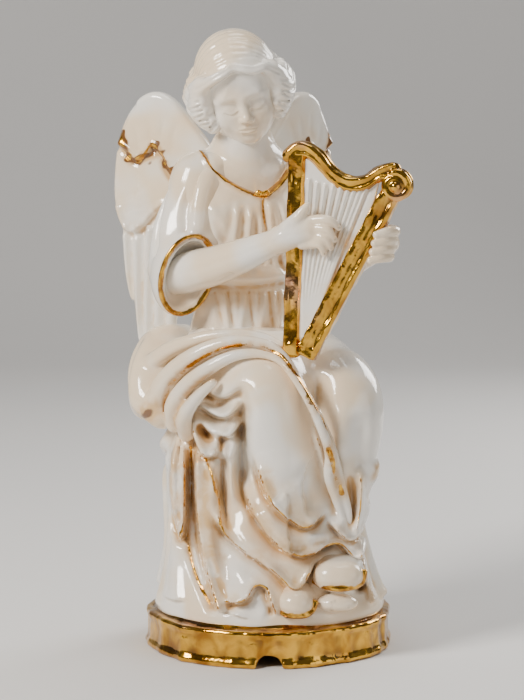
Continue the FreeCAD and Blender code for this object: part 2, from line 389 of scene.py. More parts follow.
# ---------------------------------------------------------------- materials
class Nodes:
    """Short names for making and joining shader nodes."""

    def __init__(self, name):
        self.material = bpy.data.materials.new(name)
        self.material.use_nodes = True
        self.tree = self.material.node_tree
        self.shader = self.tree.nodes["Principled BSDF"]
        self.place = self.make("ShaderNodeTexCoord").outputs["Object"]

    def make(self, kind, **settings):
        node = self.tree.nodes.new(kind)
        for key, value in settings.items():
            setattr(node, key, value)
        return node

    def feed(self, socket, value):
        if isinstance(value, bpy.types.NodeSocket):
            self.tree.links.new(value, socket)
        else:
            socket.default_value = value

    def attribute(self, name):
        return self.make("ShaderNodeAttribute", attribute_name=name).outputs["Fac"]

    def noise(self, size, detail=3.0, rough=0.5, warp=0.0):
        """Noise whose lumps are about `size` millimetres."""
        node = self.make("ShaderNodeTexNoise")
        self.feed(node.inputs["Vector"], self.place)
        node.inputs["Scale"].default_value = 1000.0 / size
        node.inputs["Detail"].default_value = detail
        node.inputs["Roughness"].default_value = rough
        node.inputs["Distortion"].default_value = warp
        return node.outputs["Fac"]

    def sum(self, operation, a, b=0.0, c=0.0):
        node = self.make("ShaderNodeMath", operation=operation)
        for socket, value in zip(node.inputs, (a, b, c)):
            self.feed(socket, value)
        return node.outputs[0]

    def ramp(self, value, low, high, to_low=0.0, to_high=1.0):
        """A smooth step of value from low to high."""
        node = self.make("ShaderNodeMapRange", interpolation_type="SMOOTHSTEP")
        for socket, number in zip(node.inputs, (value, low, high, to_low, to_high)):
            self.feed(socket, number)
        return node.outputs[0]

    def mix(self, amount, a, b):
        node = self.make("ShaderNodeMix", data_type="RGBA")
        for socket, value in zip((node.inputs[0], node.inputs[6], node.inputs[7]), (amount, a, b)):
            self.feed(socket, value)
        return node.outputs[2]

    def bump(self, height, strength, distance):
        """distance is the height's size in millimetres."""
        node = self.make("ShaderNodeBump")
        node.inputs["Strength"].default_value = strength
        node.inputs["Distance"].default_value = distance * MM
        self.feed(node.inputs["Height"], height)
        return node.outputs[0]


COOL_WHITE = (0.90, 0.868, 0.80, 1)
WARM_CREAM = (0.90, 0.735, 0.53, 1)
AMBER = (0.66, 0.40, 0.15, 1)
BROWN = (0.16, 0.07, 0.02, 1)
GOLD_LIGHT = (0.82, 0.455, 0.05, 1)
GOLD_DEEP = (0.36, 0.15, 0.010, 1)
GOLD_PINK = (0.78, 0.42, 0.28, 1)


def glaze_material(name, warmth=0.5, amber=1.0, pooling_and_shade=1.0, tint=WARM_CREAM):
    """Glossy white glaze that warms to cream, with worn gold lines and amber run into its hollows; that
    hollow amber is partly pooled glaze and partly painted shade, and the deepest hollows get brown painted
    shade.
    """
    m = Nodes(name)
    patch = m.ramp(m.noise(38, 2.0, 0.5, 0.4), 0.58 - 0.3 * warmth, 0.74 - 0.2 * warmth)
    body = m.mix(patch, COOL_WHITE, tint)
    # Amber from how deep a point lies in a hollow: partly glaze pooled in the folds, partly painted shade.
    hollow = m.ramp(m.attribute("hollow"), 0.06, 0.95)
    run = m.noise(9, 2.5, 0.5, 0.9)
    wash = m.sum("ADD", m.sum("MULTIPLY", hollow, 0.55 * pooling_and_shade),
                 m.sum("MULTIPLY", m.attribute("amber"), amber))
    wash = m.sum("MULTIPLY", wash, m.ramp(run, 0.25, 0.7, 0.35, 1.15))
    body = m.mix(m.ramp(wash, 0.05, 0.9, 0.0, 0.85), body, AMBER)
    # Painted shade: the deepest hollows darken towards brown.
    body = m.mix(m.ramp(m.attribute("hollow"), 0.6, 2.2, 0.0, 0.55), body, BROWN)
    # Real stains and dabs turn the glaze brown, and under the far toe the same layer carries a little painted
    # shade.
    stain_and_shade = m.sum("ADD", m.attribute("dark"), m.sum("MULTIPLY", m.sum("SUBTRACT", m.noise(4, 4.0), 0.5), 0.8))
    body = m.mix(m.ramp(stain_and_shade, 0.35, 0.75), body, BROWN)
    edge = m.sum("ADD", m.attribute("gold"), m.sum("MULTIPLY",
                                                   m.sum("SUBTRACT", m.noise(5, 4.0, 0.6), 0.52), 2.4))
    gilt = m.ramp(edge, -0.12, 0.22)
    leaf = m.mix(m.ramp(m.noise(3.5, 3.0), 0.35, 0.7), GOLD_DEEP, GOLD_LIGHT)
    m.feed(m.shader.inputs["Base Color"], m.mix(gilt, body, leaf))
    m.feed(m.shader.inputs["Metallic"], m.sum("MULTIPLY", gilt, 0.92))
    sheen = m.ramp(m.noise(12, 4.0, 0.6), 0.3, 0.75, 0.10, 0.22)
    m.feed(m.shader.inputs["Roughness"], m.sum("ADD", sheen, m.sum("MULTIPLY", gilt, 0.08)))
    lumps = m.sum("ADD", m.noise(14, 2.0), m.sum("MULTIPLY", m.noise(1.6, 3.0), 0.10))
    m.feed(m.shader.inputs["Normal"], m.bump(lumps, 0.35, 0.55))
    m.shader.inputs["Coat Weight"].default_value = 0.5
    m.shader.inputs["Coat Roughness"].default_value = 0.06
    m.shader.inputs["Specular IOR Level"].default_value = 0.55
    return m.material


def gold_material(name, dents=1.0):
    """Bright gold lustre over a lumpy glaze, rosy here and there, and deeper and browner in its hollows with
    painted shade.
    """
    m = Nodes(name)
    body = m.mix(m.ramp(m.noise(11, 2.5, 0.5, 0.8), 0.26, 0.68), GOLD_DEEP, GOLD_LIGHT)
    body = m.mix(m.ramp(m.noise(26, 2.0), 0.60, 0.78, 0.0, 0.7), body, GOLD_PINK)
    # Painted shade: the gold turns deeper and browner in its hollows.
    body = m.mix(m.ramp(m.attribute("hollow"), 0.02, 0.5, 0.0, 0.75), body, BROWN)
    m.feed(m.shader.inputs["Base Color"], body)
    m.shader.inputs["Metallic"].default_value = 1.0
    m.feed(m.shader.inputs["Roughness"], m.ramp(m.noise(7, 4.0, 0.6), 0.3, 0.75, 0.10, 0.26))
    lumps = m.sum("ADD", m.noise(9, 2.0, 0.5, 0.6), m.sum("MULTIPLY", m.noise(2.4, 3.0), 0.16))
    m.feed(m.shader.inputs["Normal"], m.bump(lumps, 0.6 * dents, 1.0))
    m.shader.inputs["Coat Weight"].default_value = 0.3
    m.shader.inputs["Coat Roughness"].default_value = 0.08
    return m.material


ROBE = glaze_material("robe_glaze", warmth=0.6)
SKIN = glaze_material("skin_glaze", warmth=0.75, amber=0.8, pooling_and_shade=0.5)
HAIR = glaze_material("hair_glaze", warmth=0.7, pooling_and_shade=1.0)
WINGS = glaze_material("wing_glaze", warmth=0.5, pooling_and_shade=0.9)
STRINGS = glaze_material("string_glaze", warmth=0.1, pooling_and_shade=0.7)
GOLD = gold_material("gold_lustre")


# ---------------------------------------------------------------- robe
# Level sections of the robe above the deck: height, then how far it reaches left, right, front and back.
DRUM = [
    (-3, 56, 57, 55, 55), (4, 56, 57, 55, 55), (12, 54, 53, 51, 53), (26, 51, 49, 46, 51),
    (42, 50, 45, 42, 50), (55, 50, 46, 40, 48), (70, 52, 50, 40, 46), (78, 53, 50, 40, 45),
    (90, 50, 51, 40, 45), (104, 50, 51, 40, 44), (116, 50, 47, 37, 42), (126, 47, 41, 31, 38),
    (134, 40, 31, 26, 33), (140, 33, 20, 19, 29),
]

FOLD_DEPTH = 1.35           # the front's folds stand out by this much more than drawn
FACING = (0.08, 0.50)       # how squarely a point faces the front where its folds fade in and are full
AROUND = 50.0               # mean radius, which turns an angle about the robe into a distance
GOLD_PEAK = 1.05            # a gold line's strength at its middle; it falls by 1 each millimetre away
GOLD_EXTRA = 0.2            # what all the robe's gold lines are strengthened by


def robe():
    """The skirt from the waist down: drum, thighs, shins, hanging folds and layered hems."""
    clay = Clay((-68, -68, DECK - 2), (64, 62, DECK + 146), 0.98)
    x, y, z = clay.grid()
    sections = [(h, 0, 0, (right - left) / 2, (back - front) / 2, (right + left) / 2, (back + front) / 2)
                for h, left, right, front, back in DRUM]
    rows = smooth_line(sections, 2.0)
    cx, cy, rx, ry = (np.interp(z - DECK, rows[:, 0], rows[:, i]).astype(np.float32) for i in range(3, 7))
    k = np.sqrt(((x - cx) / rx) ** 2 + ((y - cy) / ry) ** 2)
    clay.field[:] = np.maximum((k - 1) * np.minimum(rx, ry), z - DECK - 138)

    # Thighs, knees and shins under the cloth.
    clay.stroke([(-20, 12, DECK + 110, 25), (-8, -14, DECK + 110, 25), (-1, -32, DECK + 107, 23),
                 (4, -35, DECK + 86, 19), (10, -33, DECK + 56, 15), (13, -34, DECK + 28, 11)], 9)
    clay.stroke([(14, 14, DECK + 110, 24), (26, -8, DECK + 110, 22), (35, -25, DECK + 105, 20),
                 (37, -29, DECK + 78, 15), (36, -28, DECK + 48, 11), (36, -30, DECK + 24, 9)], 7)

    front = Relief(clay.axes[0], clay.axes[2])
    around = Relief(np.arange(-170, 171, 0.8), clay.axes[2])
    front_folds(front)
    front.height *= FOLD_DEPTH
    back_folds(around)
    facing = rise(-y / np.sqrt(x * x + y * y + 1), *FACING)
    clay.field -= front.height[:, None, :] * facing
    angle = np.arctan2(x, y) * AROUND
    lumps = waves(4, 9, 60, 18)
    i, j, l = np.nonzero(np.abs(clay.field) < 9)
    back = around.at(around.height, angle[i, j, 0], z[0, 0, l]) * (1 - facing[i, j, 0])
    clay.field[i, j, l] -= back + 0.45 * lumps(x[i, 0, 0], y[0, j, 0], z[0, 0, l])
    clay.field[:] = np.maximum(clay.field, DECK - 0.6 - z)

    points, quads = clay.mesh()
    weight = rise(-points[:, 1] / np.hypot(points[:, 0], points[:, 1] + 0.01), *FACING)
    spin = np.arctan2(points[:, 0], points[:, 1]) * AROUND
    # Where the surface turns away from the front, a gold line keeps its width instead of smearing.
    slant = np.clip(-normals_of(points, quads)[:, 1], 0.12, 1.0)
    gold = GOLD_EXTRA + GOLD_PEAK - (GOLD_PEAK - front.seen(front.gold, points)) / slant
    gold = np.where(weight > 0.3, gold, NO_GOLD)
    amber = (front.seen(front.amber, points) * weight
             + around.at(around.amber, spin, points[:, 2]) * (1 - weight))
    dark = stains(points, [((36, -40, 76), 4.0), ((36, -36, 84), 3.5), ((52, -16, 90), 2.6),
                           ((51, -22, 60), 2.0)])
    specks = stains(points, [((4, -58, 130), 2.2), ((26, -46, 131), 2.0), ((50, -34, 134), 1.8),
                             ((-14, -30, 154), 2.0)])
    amber = np.maximum(amber, specks)
    make_piece("robe", "skirt", ROBE, points, quads, gold, amber, dark)


def stains(points, spots):
    """Strength of a few soft round dabs, each a place and a radius."""
    total = np.zeros(len(points))
    for middle, size in spots:
        gap = np.linalg.norm(points - np.array(middle, float), axis=1)
        total = np.maximum(total, np.clip(1.35 - gap / size, 0, 1))
    return total


def front_folds(r):
    """The front of the robe in x and height: cloth edges that sweep over each other, and folds."""
    # The innermost layer stands on the deck; its cone at the side is smooth and pale.
    r.fold([(-48, 66), (-48, 46), (-47, 26)], 2.6, 6, 5, (0.3, 0.05))
    r.fold([(-12, 40), (-14, 33), (-16, 24)], 2.0, 6, 6, (0.3, 0.05))
    r.fold([(-19, 52), (-14, 42), (-6, 34), (2, 27)], 2.4, 5, 5, (0.3, 0.1))
    r.hem([(-24, 30), (-15, 30.5), (-10, 33), (-6.5, 38), (-2, 37), (0.5, 31), (3, 24)], 2.6, 10,
          (0.2, 0.1), 0.8, 0.6, 1.0, 2.2)

    # Three layers of hem sweep from the hip to the feet.
    r.hem([(-28, 76), (-24, 66), (-19, 59), (-12, 53.5), (-3, 48.5), (5, 42), (10, 37), (15, 37),
           (19, 42), (23, 50)], 3.6, 30, (0.25, 0.08), 0.8, 0.7, 1.4, 3.0)
    r.hem([(-14, 90), (-11, 79), (-6, 70), (0, 61.5), (6, 56), (14, 52), (21, 52.5), (28, 55.5),
           (33, 56.5), (38, 53)], 3.8, 22, (0.25, 0.08), 1.0, 0.8, 1.4, 3.2)
    r.hem([(-8, 104), (-6, 94), (-3, 86), (0, 80), (5, 74), (11, 69), (17, 66), (22, 68), (27, 74)],
          3.4, 24, (0.3, 0.15), 1.0, 0.9, 1.2, 3.0)
    # Soft swells on the sheets between the hems.
    r.fold([(-4, 78), (2, 68), (9, 61), (17, 59)], 1.6, 3, 3, (0.3, 0.3))
    r.fold([(-16, 66), (-9, 58), (0, 50), (8, 45)], 1.8, 3.2, 3.2, (0.3, 0.3), 0, 0.35)
    r.fold([(-10, 74), (-5, 64), (2, 56), (10, 49)], -1.6, 2.2, 2.8, (0.3, 0.3), 0, 0.45)
    r.fold([(16, 64), (24, 62), (32, 62)], 1.6, 2.5, 2.5, (0.3, 0.3))

    # A long crease beside the near shin, and the cloth between the hip and the knee pulled in swags.
    r.fold([(-13, 136), (-12, 122), (-13, 106), (-13, 90), (-12, 76)], -5.0, 3.4, 3.2, (0.25, 0.25))
    r.fold([(-17, 118), (-18, 102), (-18, 86), (-16, 70)], 3.4, 3.2, 3.4, (0.3, 0.3))
    r.fold([(-21, 108), (-22, 92), (-22, 76), (-19, 62)], -3.0, 2.0, 2.6, (0.25, 0.2), 0, 0.2)
    r.fold([(-25, 102), (-27, 86), (-26, 72), (-22, 60)], 3.2, 2.8, 2.6, (0.3, 0.2))
    for drop, depth in ((0, 3.6), (9, 4.2), (19, 3.4)):
        r.fold([(-36, 134 - drop), (-30, 127 - drop), (-22, 125 - drop), (-14, 131 - drop),
                (-10, 136 - drop)], -depth, 2.0, 3.4, (0.3, 0.3), 0, 0.15)
        r.fold([(-36, 129 - drop), (-29, 121.5 - drop), (-21, 119.5 - drop), (-13, 126 - drop)],
               0.8 * depth, 2.4, 2.8, (0.3, 0.3))
    # The open end of a fold at the hip, like a cup.
    r.hem([(-38, 119), (-37, 108), (-32, 100), (-27, 99), (-24, 105), (-28, 113)], 2.6, 5, (0.2, 0.3), 0.5,
          0.4, 1.4, 2.4)
    r.fold([(-35, 115), (-31, 108), (-28, 103)], -1.8, 2.6, 2.6, (0.3, 0.3), 0, 0.7)

    # Long pointed folds hang from the hip at the side, with gilt valleys between them.
    r.hem([(-44, 110), (-48, 95), (-49, 78), (-46, 64), (-42.5, 56), (-40.5, 66), (-40, 88), (-41, 106)],
          4.0, 7, (0.15, 0.15), 0.8, 0.8, 1.2, 2.4)
    r.fold([(-45, 98), (-45, 82), (-44, 68)], 2.2, 2.2, 2.2, (0.3, 0.2), 0, 0.3)
    r.fold([(-38.5, 108), (-37.5, 92), (-37.5, 76), (-39, 64)], 1.0, 1.6, 1.6, (0.2, 0.4), 0.9, 1.0)
    r.hem([(-35, 107), (-36, 90), (-35.5, 72), (-33, 54), (-29, 38), (-24, 24)], 4.2, 8, (0.12, 0.05), 0.9,
          0.9, 1.2, 2.6)
    r.fold([(-33, 100), (-31, 84), (-29, 66), (-26, 48), (-21, 32)], 2.2, 2.8, 3.4, (0.2, 0.2), 0, 0.75)
    r.fold([(-34.5, 106), (-28, 92), (-24, 78), (-22, 64), (-17, 54)], 2.4, 1.7, 1.4, (0.15, 0.2), 0.9, 1.0)
    r.fold([(-41, 64), (-38.5, 50), (-34.5, 38), (-27, 24)], -1.8, 2.0, 1.8, (0.25, 0.05), 0.8, 0.9)
    r.fold([(-52, 82), (-53.5, 64), (-54, 46)], -2.2, 2, 2.5, (0.3, 0.3), 0.4, 0.7)
    r.fold([(-30, 52), (-25, 42), (-20, 32), (-17, 24)], -1.6, 2.2, 3, (0.3, 0.1), 0, 0.4)

    # Between the shins the cloak's end trails down into a deep amber recess.
    r.fold([(22, 122), (27, 108), (30, 94), (31.5, 80), (31, 66)], -3.6, 3.0, 3.4, (0.35, 0.35), 0, 0.7)
    r.fold([(20, 118), (24.5, 104), (27.5, 91), (29.5, 81)], 2.4, 1.6, 1.8, (0.3, 0.3), 0.5, 0.4)
    r.fold([(37, 96), (39, 84), (39.5, 73), (37.5, 62)], -4.2, 3.0, 2.2, (0.45, 0.3), 0, 1.0)
    r.fold([(43.5, 96), (44, 82), (43, 70), (41, 61)], 3.0, 1.3, 1.6, (0.3, 0.2), 0.6, 0.5)
    r.hem([(28, 70), (31, 65), (36, 60), (41, 58.5), (45, 62), (48, 69)], 3.0, 8, (0.2, 0.25), 0.7, 0.6,
          1.2, 2.4)
    r.hem([(34, 57), (39, 51), (43, 49), (46, 52), (49, 58)], 2.6, 6, (0.25, 0.25), 0.6, 0.5, 1.0, 2.0)
    r.fold([(44, 56), (46, 45), (49, 34), (52, 25)], 3.2, 1.8, 2.4, (0.2, 0.05), 0.5, 0.6)
    r.fold([(40, 50), (42, 40), (45, 30)], -3.6, 1.8, 1.8, (0.2, 0.1), 0, 0.7)
    r.fold([(50, 54), (52, 42), (54, 30)], -2.6, 2.0, 2.0, (0.2, 0.1), 0, 0.6)

    # Broad modelling: the far thigh and shin, and cloth between the knees.
    r.fold([(27, 142), (24, 130), (22, 116)], -2.4, 5, 5, (0.45, 0.45))
    r.fold([(44, 122), (43, 104), (43, 88)], -1.8, 4, 4)
    r.fold([(36, 128), (34, 110), (33, 96)], 1.4, 4, 4)
    r.fold([(53, 98), (52, 91), (48, 84)], 1.6, 4, 3, (0.4, 0.4), 0, 0.9)
    r.fold([(53, 84), (50, 79), (45, 76)], -1.4, 3, 3, (0.4, 0.4), 0, 0.6)


def back_folds(r):
    """The sides and back: long folds that fall from the seat and spread towards the deck."""
    dice = np.random.default_rng(11)
    u = -150.0
    while u < 150:
        top = 116 + dice.uniform(-34, 12)
        foot = DECK - 2 + dice.uniform(0, 12)
        lean = u * dice.uniform(0.06, 0.14) + dice.uniform(-5, 5)
        line = [(u * 0.9, DECK + top - 19), (u + lean * 0.4, 88), (u + lean * 0.8, 52), (u + lean, foot)]
        width = dice.uniform(3.6, 6.5)
        r.fold(line, dice.uniform(2.0, 3.8), width, width * dice.uniform(0.5, 1.0), (0.35, 0.05))
        r.fold([(p + width * 1.4, h) for p, h in line], -dice.uniform(1.4, 2.8), 3.2, 2.6, (0.4, 0.05), 0,
               dice.uniform(0.1, 0.35))
        u += dice.uniform(11, 24)
    for start, sag, wide, height in ((-96, 16, 60, 112), (-30, 18, 66, 104), (38, 14, 58, 110)):
        line = [(start, height), (start + wide * 0.3, height - sag * 0.8), (start + wide * 0.6, height - sag),
                (start + wide, height - sag * 0.2)]
        r.fold(line, 2.2, 3.0, 4.5, (0.3, 0.3))
        r.fold([(p, h - 6) for p, h in line], -1.8, 2.5, 2.5, (0.3, 0.3), 0, 0.4)


def place(points, spin, origin):
    """Points from a piece's own turned axes to the figure's."""
    return np.asarray(points) @ spin.T + origin


# ---------------------------------------------------------------- plinth
def plinth():
    """Thick gilt disc with a wavering rolled rim, hollow underneath, with a notch in its front."""
    low, high, _ = node_box("plinth")
    radius = (high[0] - low[0]) / 2
    clay = Clay(low - 2.5, high + (2.5, 2.5, 7), 1.0)
    x, y, z = clay.grid()
    r = np.hypot(x, y)
    wobble = waves(3, 8, 55, 14)(x, y, z * 0.35) + 0.75 * waves(12, 7, 15, 6)(x, y, z * 0.12)
    side = r - (radius - 0.9 + 0.55 * wobble)
    top = (z - (high[2] - 0.6) + 1.05 * (r - (radius - 4.6)) + 0.5 * waves(8, 5, 60, 20)(x, y, 0 * z)) * 0.7
    top = np.maximum(top, z - (high[2] + 4.5))
    clay.field[:] = round_max(side, top, 1.6)
    rim = np.hypot(r - (radius - 1.9 + 0.5 * wobble), z - (high[2] - 2.9)) - 1.9
    clay.join(rim, 1.6)
    bead = np.hypot(r - (radius - 0.8 + 0.55 * wobble), z - 1.8) - 1.2
    clay.join(bead, 2.5)
    hollow = np.maximum(r - (radius - 6.5), z - (high[2] - 5.5))
    clay.join(hollow, 1.5, carve=True)
    notch = np.maximum(np.hypot(x, z) - 6.3, y + radius - 14)
    clay.join(notch, 0.8, carve=True)
    clay.field[:] = np.maximum(clay.field, -z)
    points, quads = clay.mesh(1)
    make_piece("gilt_plinth", "plinth", GOLD, points, quads)


# ---------------------------------------------------------------- bodice and neck
BODY_TURN = turn("Z", 12)
# Level sections of the bodice: height, centre across, centre deep, half width, half depth.
BODICE = [
    (142, 0, 3, 30, 24), (156, 0, 2, 27, 20), (168, 0, 0, 24.5, 18), (176, 0, -1, 22.5, 16.5),
    (184, 0, -2, 24.5, 18.5), (198, 0, -2, 26.5, 19.5), (214, 0, -1, 30, 18), (226, 0, 0, 31, 15.5),
    (234, 0, 0, 28, 13.5), (241, 0.5, 0, 20, 11.5), (247, 0.5, -1, 13.5, 11),
]
NECKLINE = [(-25, 250), (-22, 245), (-18.5, 237.5), (-11.5, 230.5), (-2.5, 225.3), (5, 223.0),
            (11, 226.0), (17, 231.5), (22, 239), (26, 248)]


def body_field(clay, inset=0.0):
    """Distance to the bodice's smooth body, made smaller by an inset."""
    x, y, z = clay.grid()
    rows = smooth_line([(h, 0, 0, cx, cy, rx, ry) for h, cx, cy, rx, ry in BODICE], 2.0)
    cx, cy, rx, ry = (np.interp(z, rows[:, 0], rows[:, i]).astype(np.float32) for i in range(3, 7))
    k = np.sqrt(((x - cx) / (rx - inset)) ** 2 + ((y - cy) / (ry - inset)) ** 2)
    return np.maximum((k - 1) * np.minimum(rx, ry), np.maximum(z - 247 + inset, 144 - z))


def bodice():
    """The robe above the waist, with its gold neckline, pleats, and gathers under a high waist."""
    origin = node_box("torso")[2] * (1, 1, 0) + (0, -3, 0)
    clay = Clay((-40, -34, 141), (40, 32, 252), 0.7)
    clay.field[:] = body_field(clay)
    for side in (-1, 1):
        clay.ball((side * 9.5, -12.5, 211), (10, 7, 11), soft=11)
    clay.stroke([(-24, 1, 232, 11), (-26, 0, 222, 11), (-26, -1, 208, 10)], 9)
    clay.stroke([(23, 0, 230, 11), (25, -2, 221, 11), (26, -4, 210, 10)], 9)
    r = Relief(clay.axes[0], clay.axes[2])
    r.hem(NECKLINE[::-1], 0.2, 6, (0.04, 0.04), 0, 0, 1.3, 0.2)
    where, gap, _ = r.measure(NECKLINE, 60)
    r.height[where] -= 2.4 * rise(gap, -0.4, 0.8)
    r.paint(where, np.ones_like(gap), 1.1 - abs(gap + 0.7))
    r.paint(where, np.exp(-((gap + 0.5) / 2.8) ** 2), amber=0.85)
    # Pleats hang from the neckline's point, and the cloth blouses over the waist.
    for top, foot, depth, high in ((-10, -15, 0.9, 222), (-4.0, -7.5, 1.3, 220), (1.5, 0.6, 1.0, 217),
                                   (5.2, 6.4, 1.9, 222), (8.4, 11.5, 1.1, 219), (12, 16, 1.4, 223),
                                   (15, 20, 1.0, 226)):
        r.fold([(top, high), ((top + foot) / 2 + 0.8, 205), (foot, 188)], -depth, 1.4, 2.2, (0.3, 0.5), 0,
               0.28)
        r.fold([(top + 2.5, high), ((top + foot) / 2 + 3.2, 204), (foot + 2.4, 186)], depth, 2.2, 1.6,
               (0.3, 0.4))
    r.fold([(5.0, 222), (5.3, 214), (6, 205)], -1.2, 0.8, 0.8, (0.1, 0.4), 0.35, 1.0)
    r.fold([(-24, 179), (-10, 177.5), (4, 178), (20, 179.5)], -2.6, 1.6, 2.4, (0.1, 0.1), 0, 0.35)
    r.fold([(-24, 183.5), (-10, 182), (4, 182), (20, 184)], 2.2, 3.4, 2.2, (0.1, 0.1))
    for u, tilt, size in ((-17, 2, 1.3), (-11, 1, 1.5), (-6, -1, 1.2), (-1, 1, 1.6),
                          (4, -1, 1.4), (9, 1, 1.7), (14, -1, 1.4), (19, 0, 1.2)):
        r.fold([(u, 176), (u + tilt, 166), (u + 2.2 * tilt, 151)], -size, 1.3, 2.0, (0.05, 0.6), 0, 0.35)
        r.fold([(u + 2.6, 176), (u + 2.6 + tilt, 166), (u + 2.6 + 2.2 * tilt, 152)], 1.2 * size, 2.0, 1.6,
               (0.1, 0.5))
        r.fold([(u + 0.6, 188), (u + 0.6 - tilt, 196), (u + 0.8, 203)], -0.8 * size, 1.0, 1.3, (0.1, 0.6),
               0, 0.4)
    r.fold([(13, 196), (15, 189), (19, 184)], -1.8, 1.2, 2.0, (0.3, 0.2), 0, 0.9)
    r.fold([(-22, 222), (-18, 210), (-14, 200)], 1.2, 3.0, 4.0, (0.3, 0.4))
    r.fold([(-20, 214), (-15, 203), (-12, 192)], -1.2, 2.2, 2.2, (0.3, 0.4), 0, 0.3)
    y = clay.grid()[1]
    facing = rise(-y, -2, 6)
    clay.field -= r.height[:, None, :] * facing
    back = Relief(clay.axes[0], clay.axes[2])
    for u in (-21, -14, -7, 0, 7, 14, 21):
        back.fold([(u * 0.7, 238), (u, 208), (u * 0.75, 178), (u * 1.1, 146)], 1.6, 2.4, 1.8, (0.2, 0.1))
        back.fold([(u * 0.7 + 3, 236), (u + 3, 208), (u * 0.75 + 3, 178), (u * 1.1 + 3, 146)], -1.4, 1.4, 1.6,
                  (0.2, 0.1), 0, 0.15)
    back.fold([(-26, 178), (0, 176), (26, 178)], -2.4, 2, 2.4, (0.02, 0.02))
    clay.field -= back.height[:, None, :] * rise(y, -2, 6)
    points, quads = clay.mesh()
    weight = rise(-points[:, 1], -2, 6)
    gold = np.where(weight > 0.5, r.seen(r.gold, points), NO_GOLD)
    amber = (r.seen(r.amber, points) * weight
             + back.seen(back.amber, points) * (1 - weight))
    make_piece("bodice", "torso", ROBE, place(points, BODY_TURN, origin), quads, gold, amber)
    bow(origin)

    # The neck and the skin inside the neckline.
    skin = Clay((-30, -26, 214), (30, 22, 262), 0.6)
    skin.field[:] = body_field(skin, 1.7)
    skin.stroke([(0, 0, 226, 12), (0.5, -1.5, 240, 12.8), (-0.5, -4, 250, 12.4), (-1.5, -6, 258, 12.2)], 7)
    skin.stroke([(-20, 4, 233, 7.5), (-11, 4, 242, 7), (-7, 1, 250, 6)], 6)
    skin.stroke([(20, 4, 233, 7.5), (11, 4, 242, 7), (7, 1, 250, 6)], 6)
    skin.stroke([(-7, -9.0, 231, 2.0), (-14, -8.2, 235, 1.6)], 5)
    skin.stroke([(8, -9.0, 231, 2.0), (14, -8.2, 235, 1.6)], 5)
    points, quads = skin.mesh()
    make_piece("neck", None, SKIN, place(points, BODY_TURN, origin), quads)


def bow(origin):
    """A small gold knot at the point of the neckline."""
    clay = Clay((-4, -27, 217), (12, -14, 229), 0.3)
    for side in (-1, 1):
        clay.stroke([(4.6, -20.8, 223.4, 0.8), (4.6 + side * 2, -21.2, 224.3, 0.95),
                     (4.6 + side * 3.4, -20.6, 223.2, 0.7), (4.6 + side * 1.8, -20.9, 222.6, 0.7),
                     (4.6, -20.8, 223.2, 0.6)], 0.5)
    clay.ball((4.6, -21.4, 223.3), 1.1, soft=0.5)
    points, quads = clay.mesh(1)
    make_piece("neckline_knot", None, GOLD, place(points, BODY_TURN, origin), quads)


# ---------------------------------------------------------------- sleeves
def right_sleeve():
    """A wide bell sleeve, open at the cuff, with a gilt rim."""
    clay = Clay((-66, -36, 156), (-14, 26, 250), 0.65)
    clay.stroke([(-22, 8, 235, 10.5), (-31, 5, 227, 14), (-37, 2, 211, 15), (-40, -1, 197, 15),
                 (-42.5, -4, 185, 14)], 3)
    clay.ball((-42, -5, 184), (14.4, 21, 21), turn("Y", 16), 7)
    clay.stroke([(-29, 2, 225, 8), (-30, -2, 212, 9), (-30, -4, 200, 9)], 6)
    # The cuff is a slanted plane across the front of the bell, with its inside scooped out.
    out = np.array([0.36, -0.91, -0.20])
    out /= np.linalg.norm(out)
    centre = np.array([-39.8, -15.5, 184.0])
    x, y, z = clay.grid()
    cut = ((x - centre[0]) * out[0] + (y - centre[1]) * out[1] + (z - centre[2]) * out[2]).astype(np.float32)
    clay.join(-cut, 1.2, carve=True)
    clay.ball(centre + out * 2.0, (10.6, 13, 17.6), turn("Y", 16), 1.2, carve=True)
    ring = []
    for a in np.radians(range(0, 361, 15)):
        dx = 11.8 * math.cos(a) + 5.4 * math.sin(a)
        dz = 19.0 * math.sin(a) - 3.4 * math.cos(a)
        ring.append(centre + (dx, (out[0] * dx + out[2] * dz) / -out[1], dz))
    clay.stroke([(*p, 1.0) for p in ring], 0.9)
    for line in (
        [(-27, -3, 236, 1.6), (-33, -9, 222, 2.4), (-34, -13, 208, 1.8)],
        [(-37, 4, 238, 1.8), (-46, -1, 222, 2.4), (-50, -8, 204, 2.0)],
        [(-46, 10, 226, 1.8), (-54, 4, 206, 2.6), (-56, -2, 186, 2.2)],
        [(-37, 17, 226, 1.8), (-43, 17, 204, 2.4), (-47, 13, 178, 2.2)],
    ):
        clay.stroke(line, 6)
    for line in (
        [(-32, -3, 236, 0.9), (-40, -11, 218, 1.3), (-41, -15, 206, 0.8)],
        [(-44, 6, 230, 0.9), (-52, 0, 212, 1.3), (-54, -7, 194, 0.9)],
        [(-44, 18, 218, 0.9), (-51, 17, 198, 1.3), (-52, 10, 178, 1.0)],
    ):
        clay.stroke(line, 4, carve=True)
    points, quads = clay.mesh()
    rim = near_line(points, smooth_line(ring, 1.5))
    amber = 0.6 * np.exp(-(rim / 3.5) ** 2)
    make_piece("near_sleeve", "right_sleeve", ROBE, points, quads, 1.6 - rim, amber)


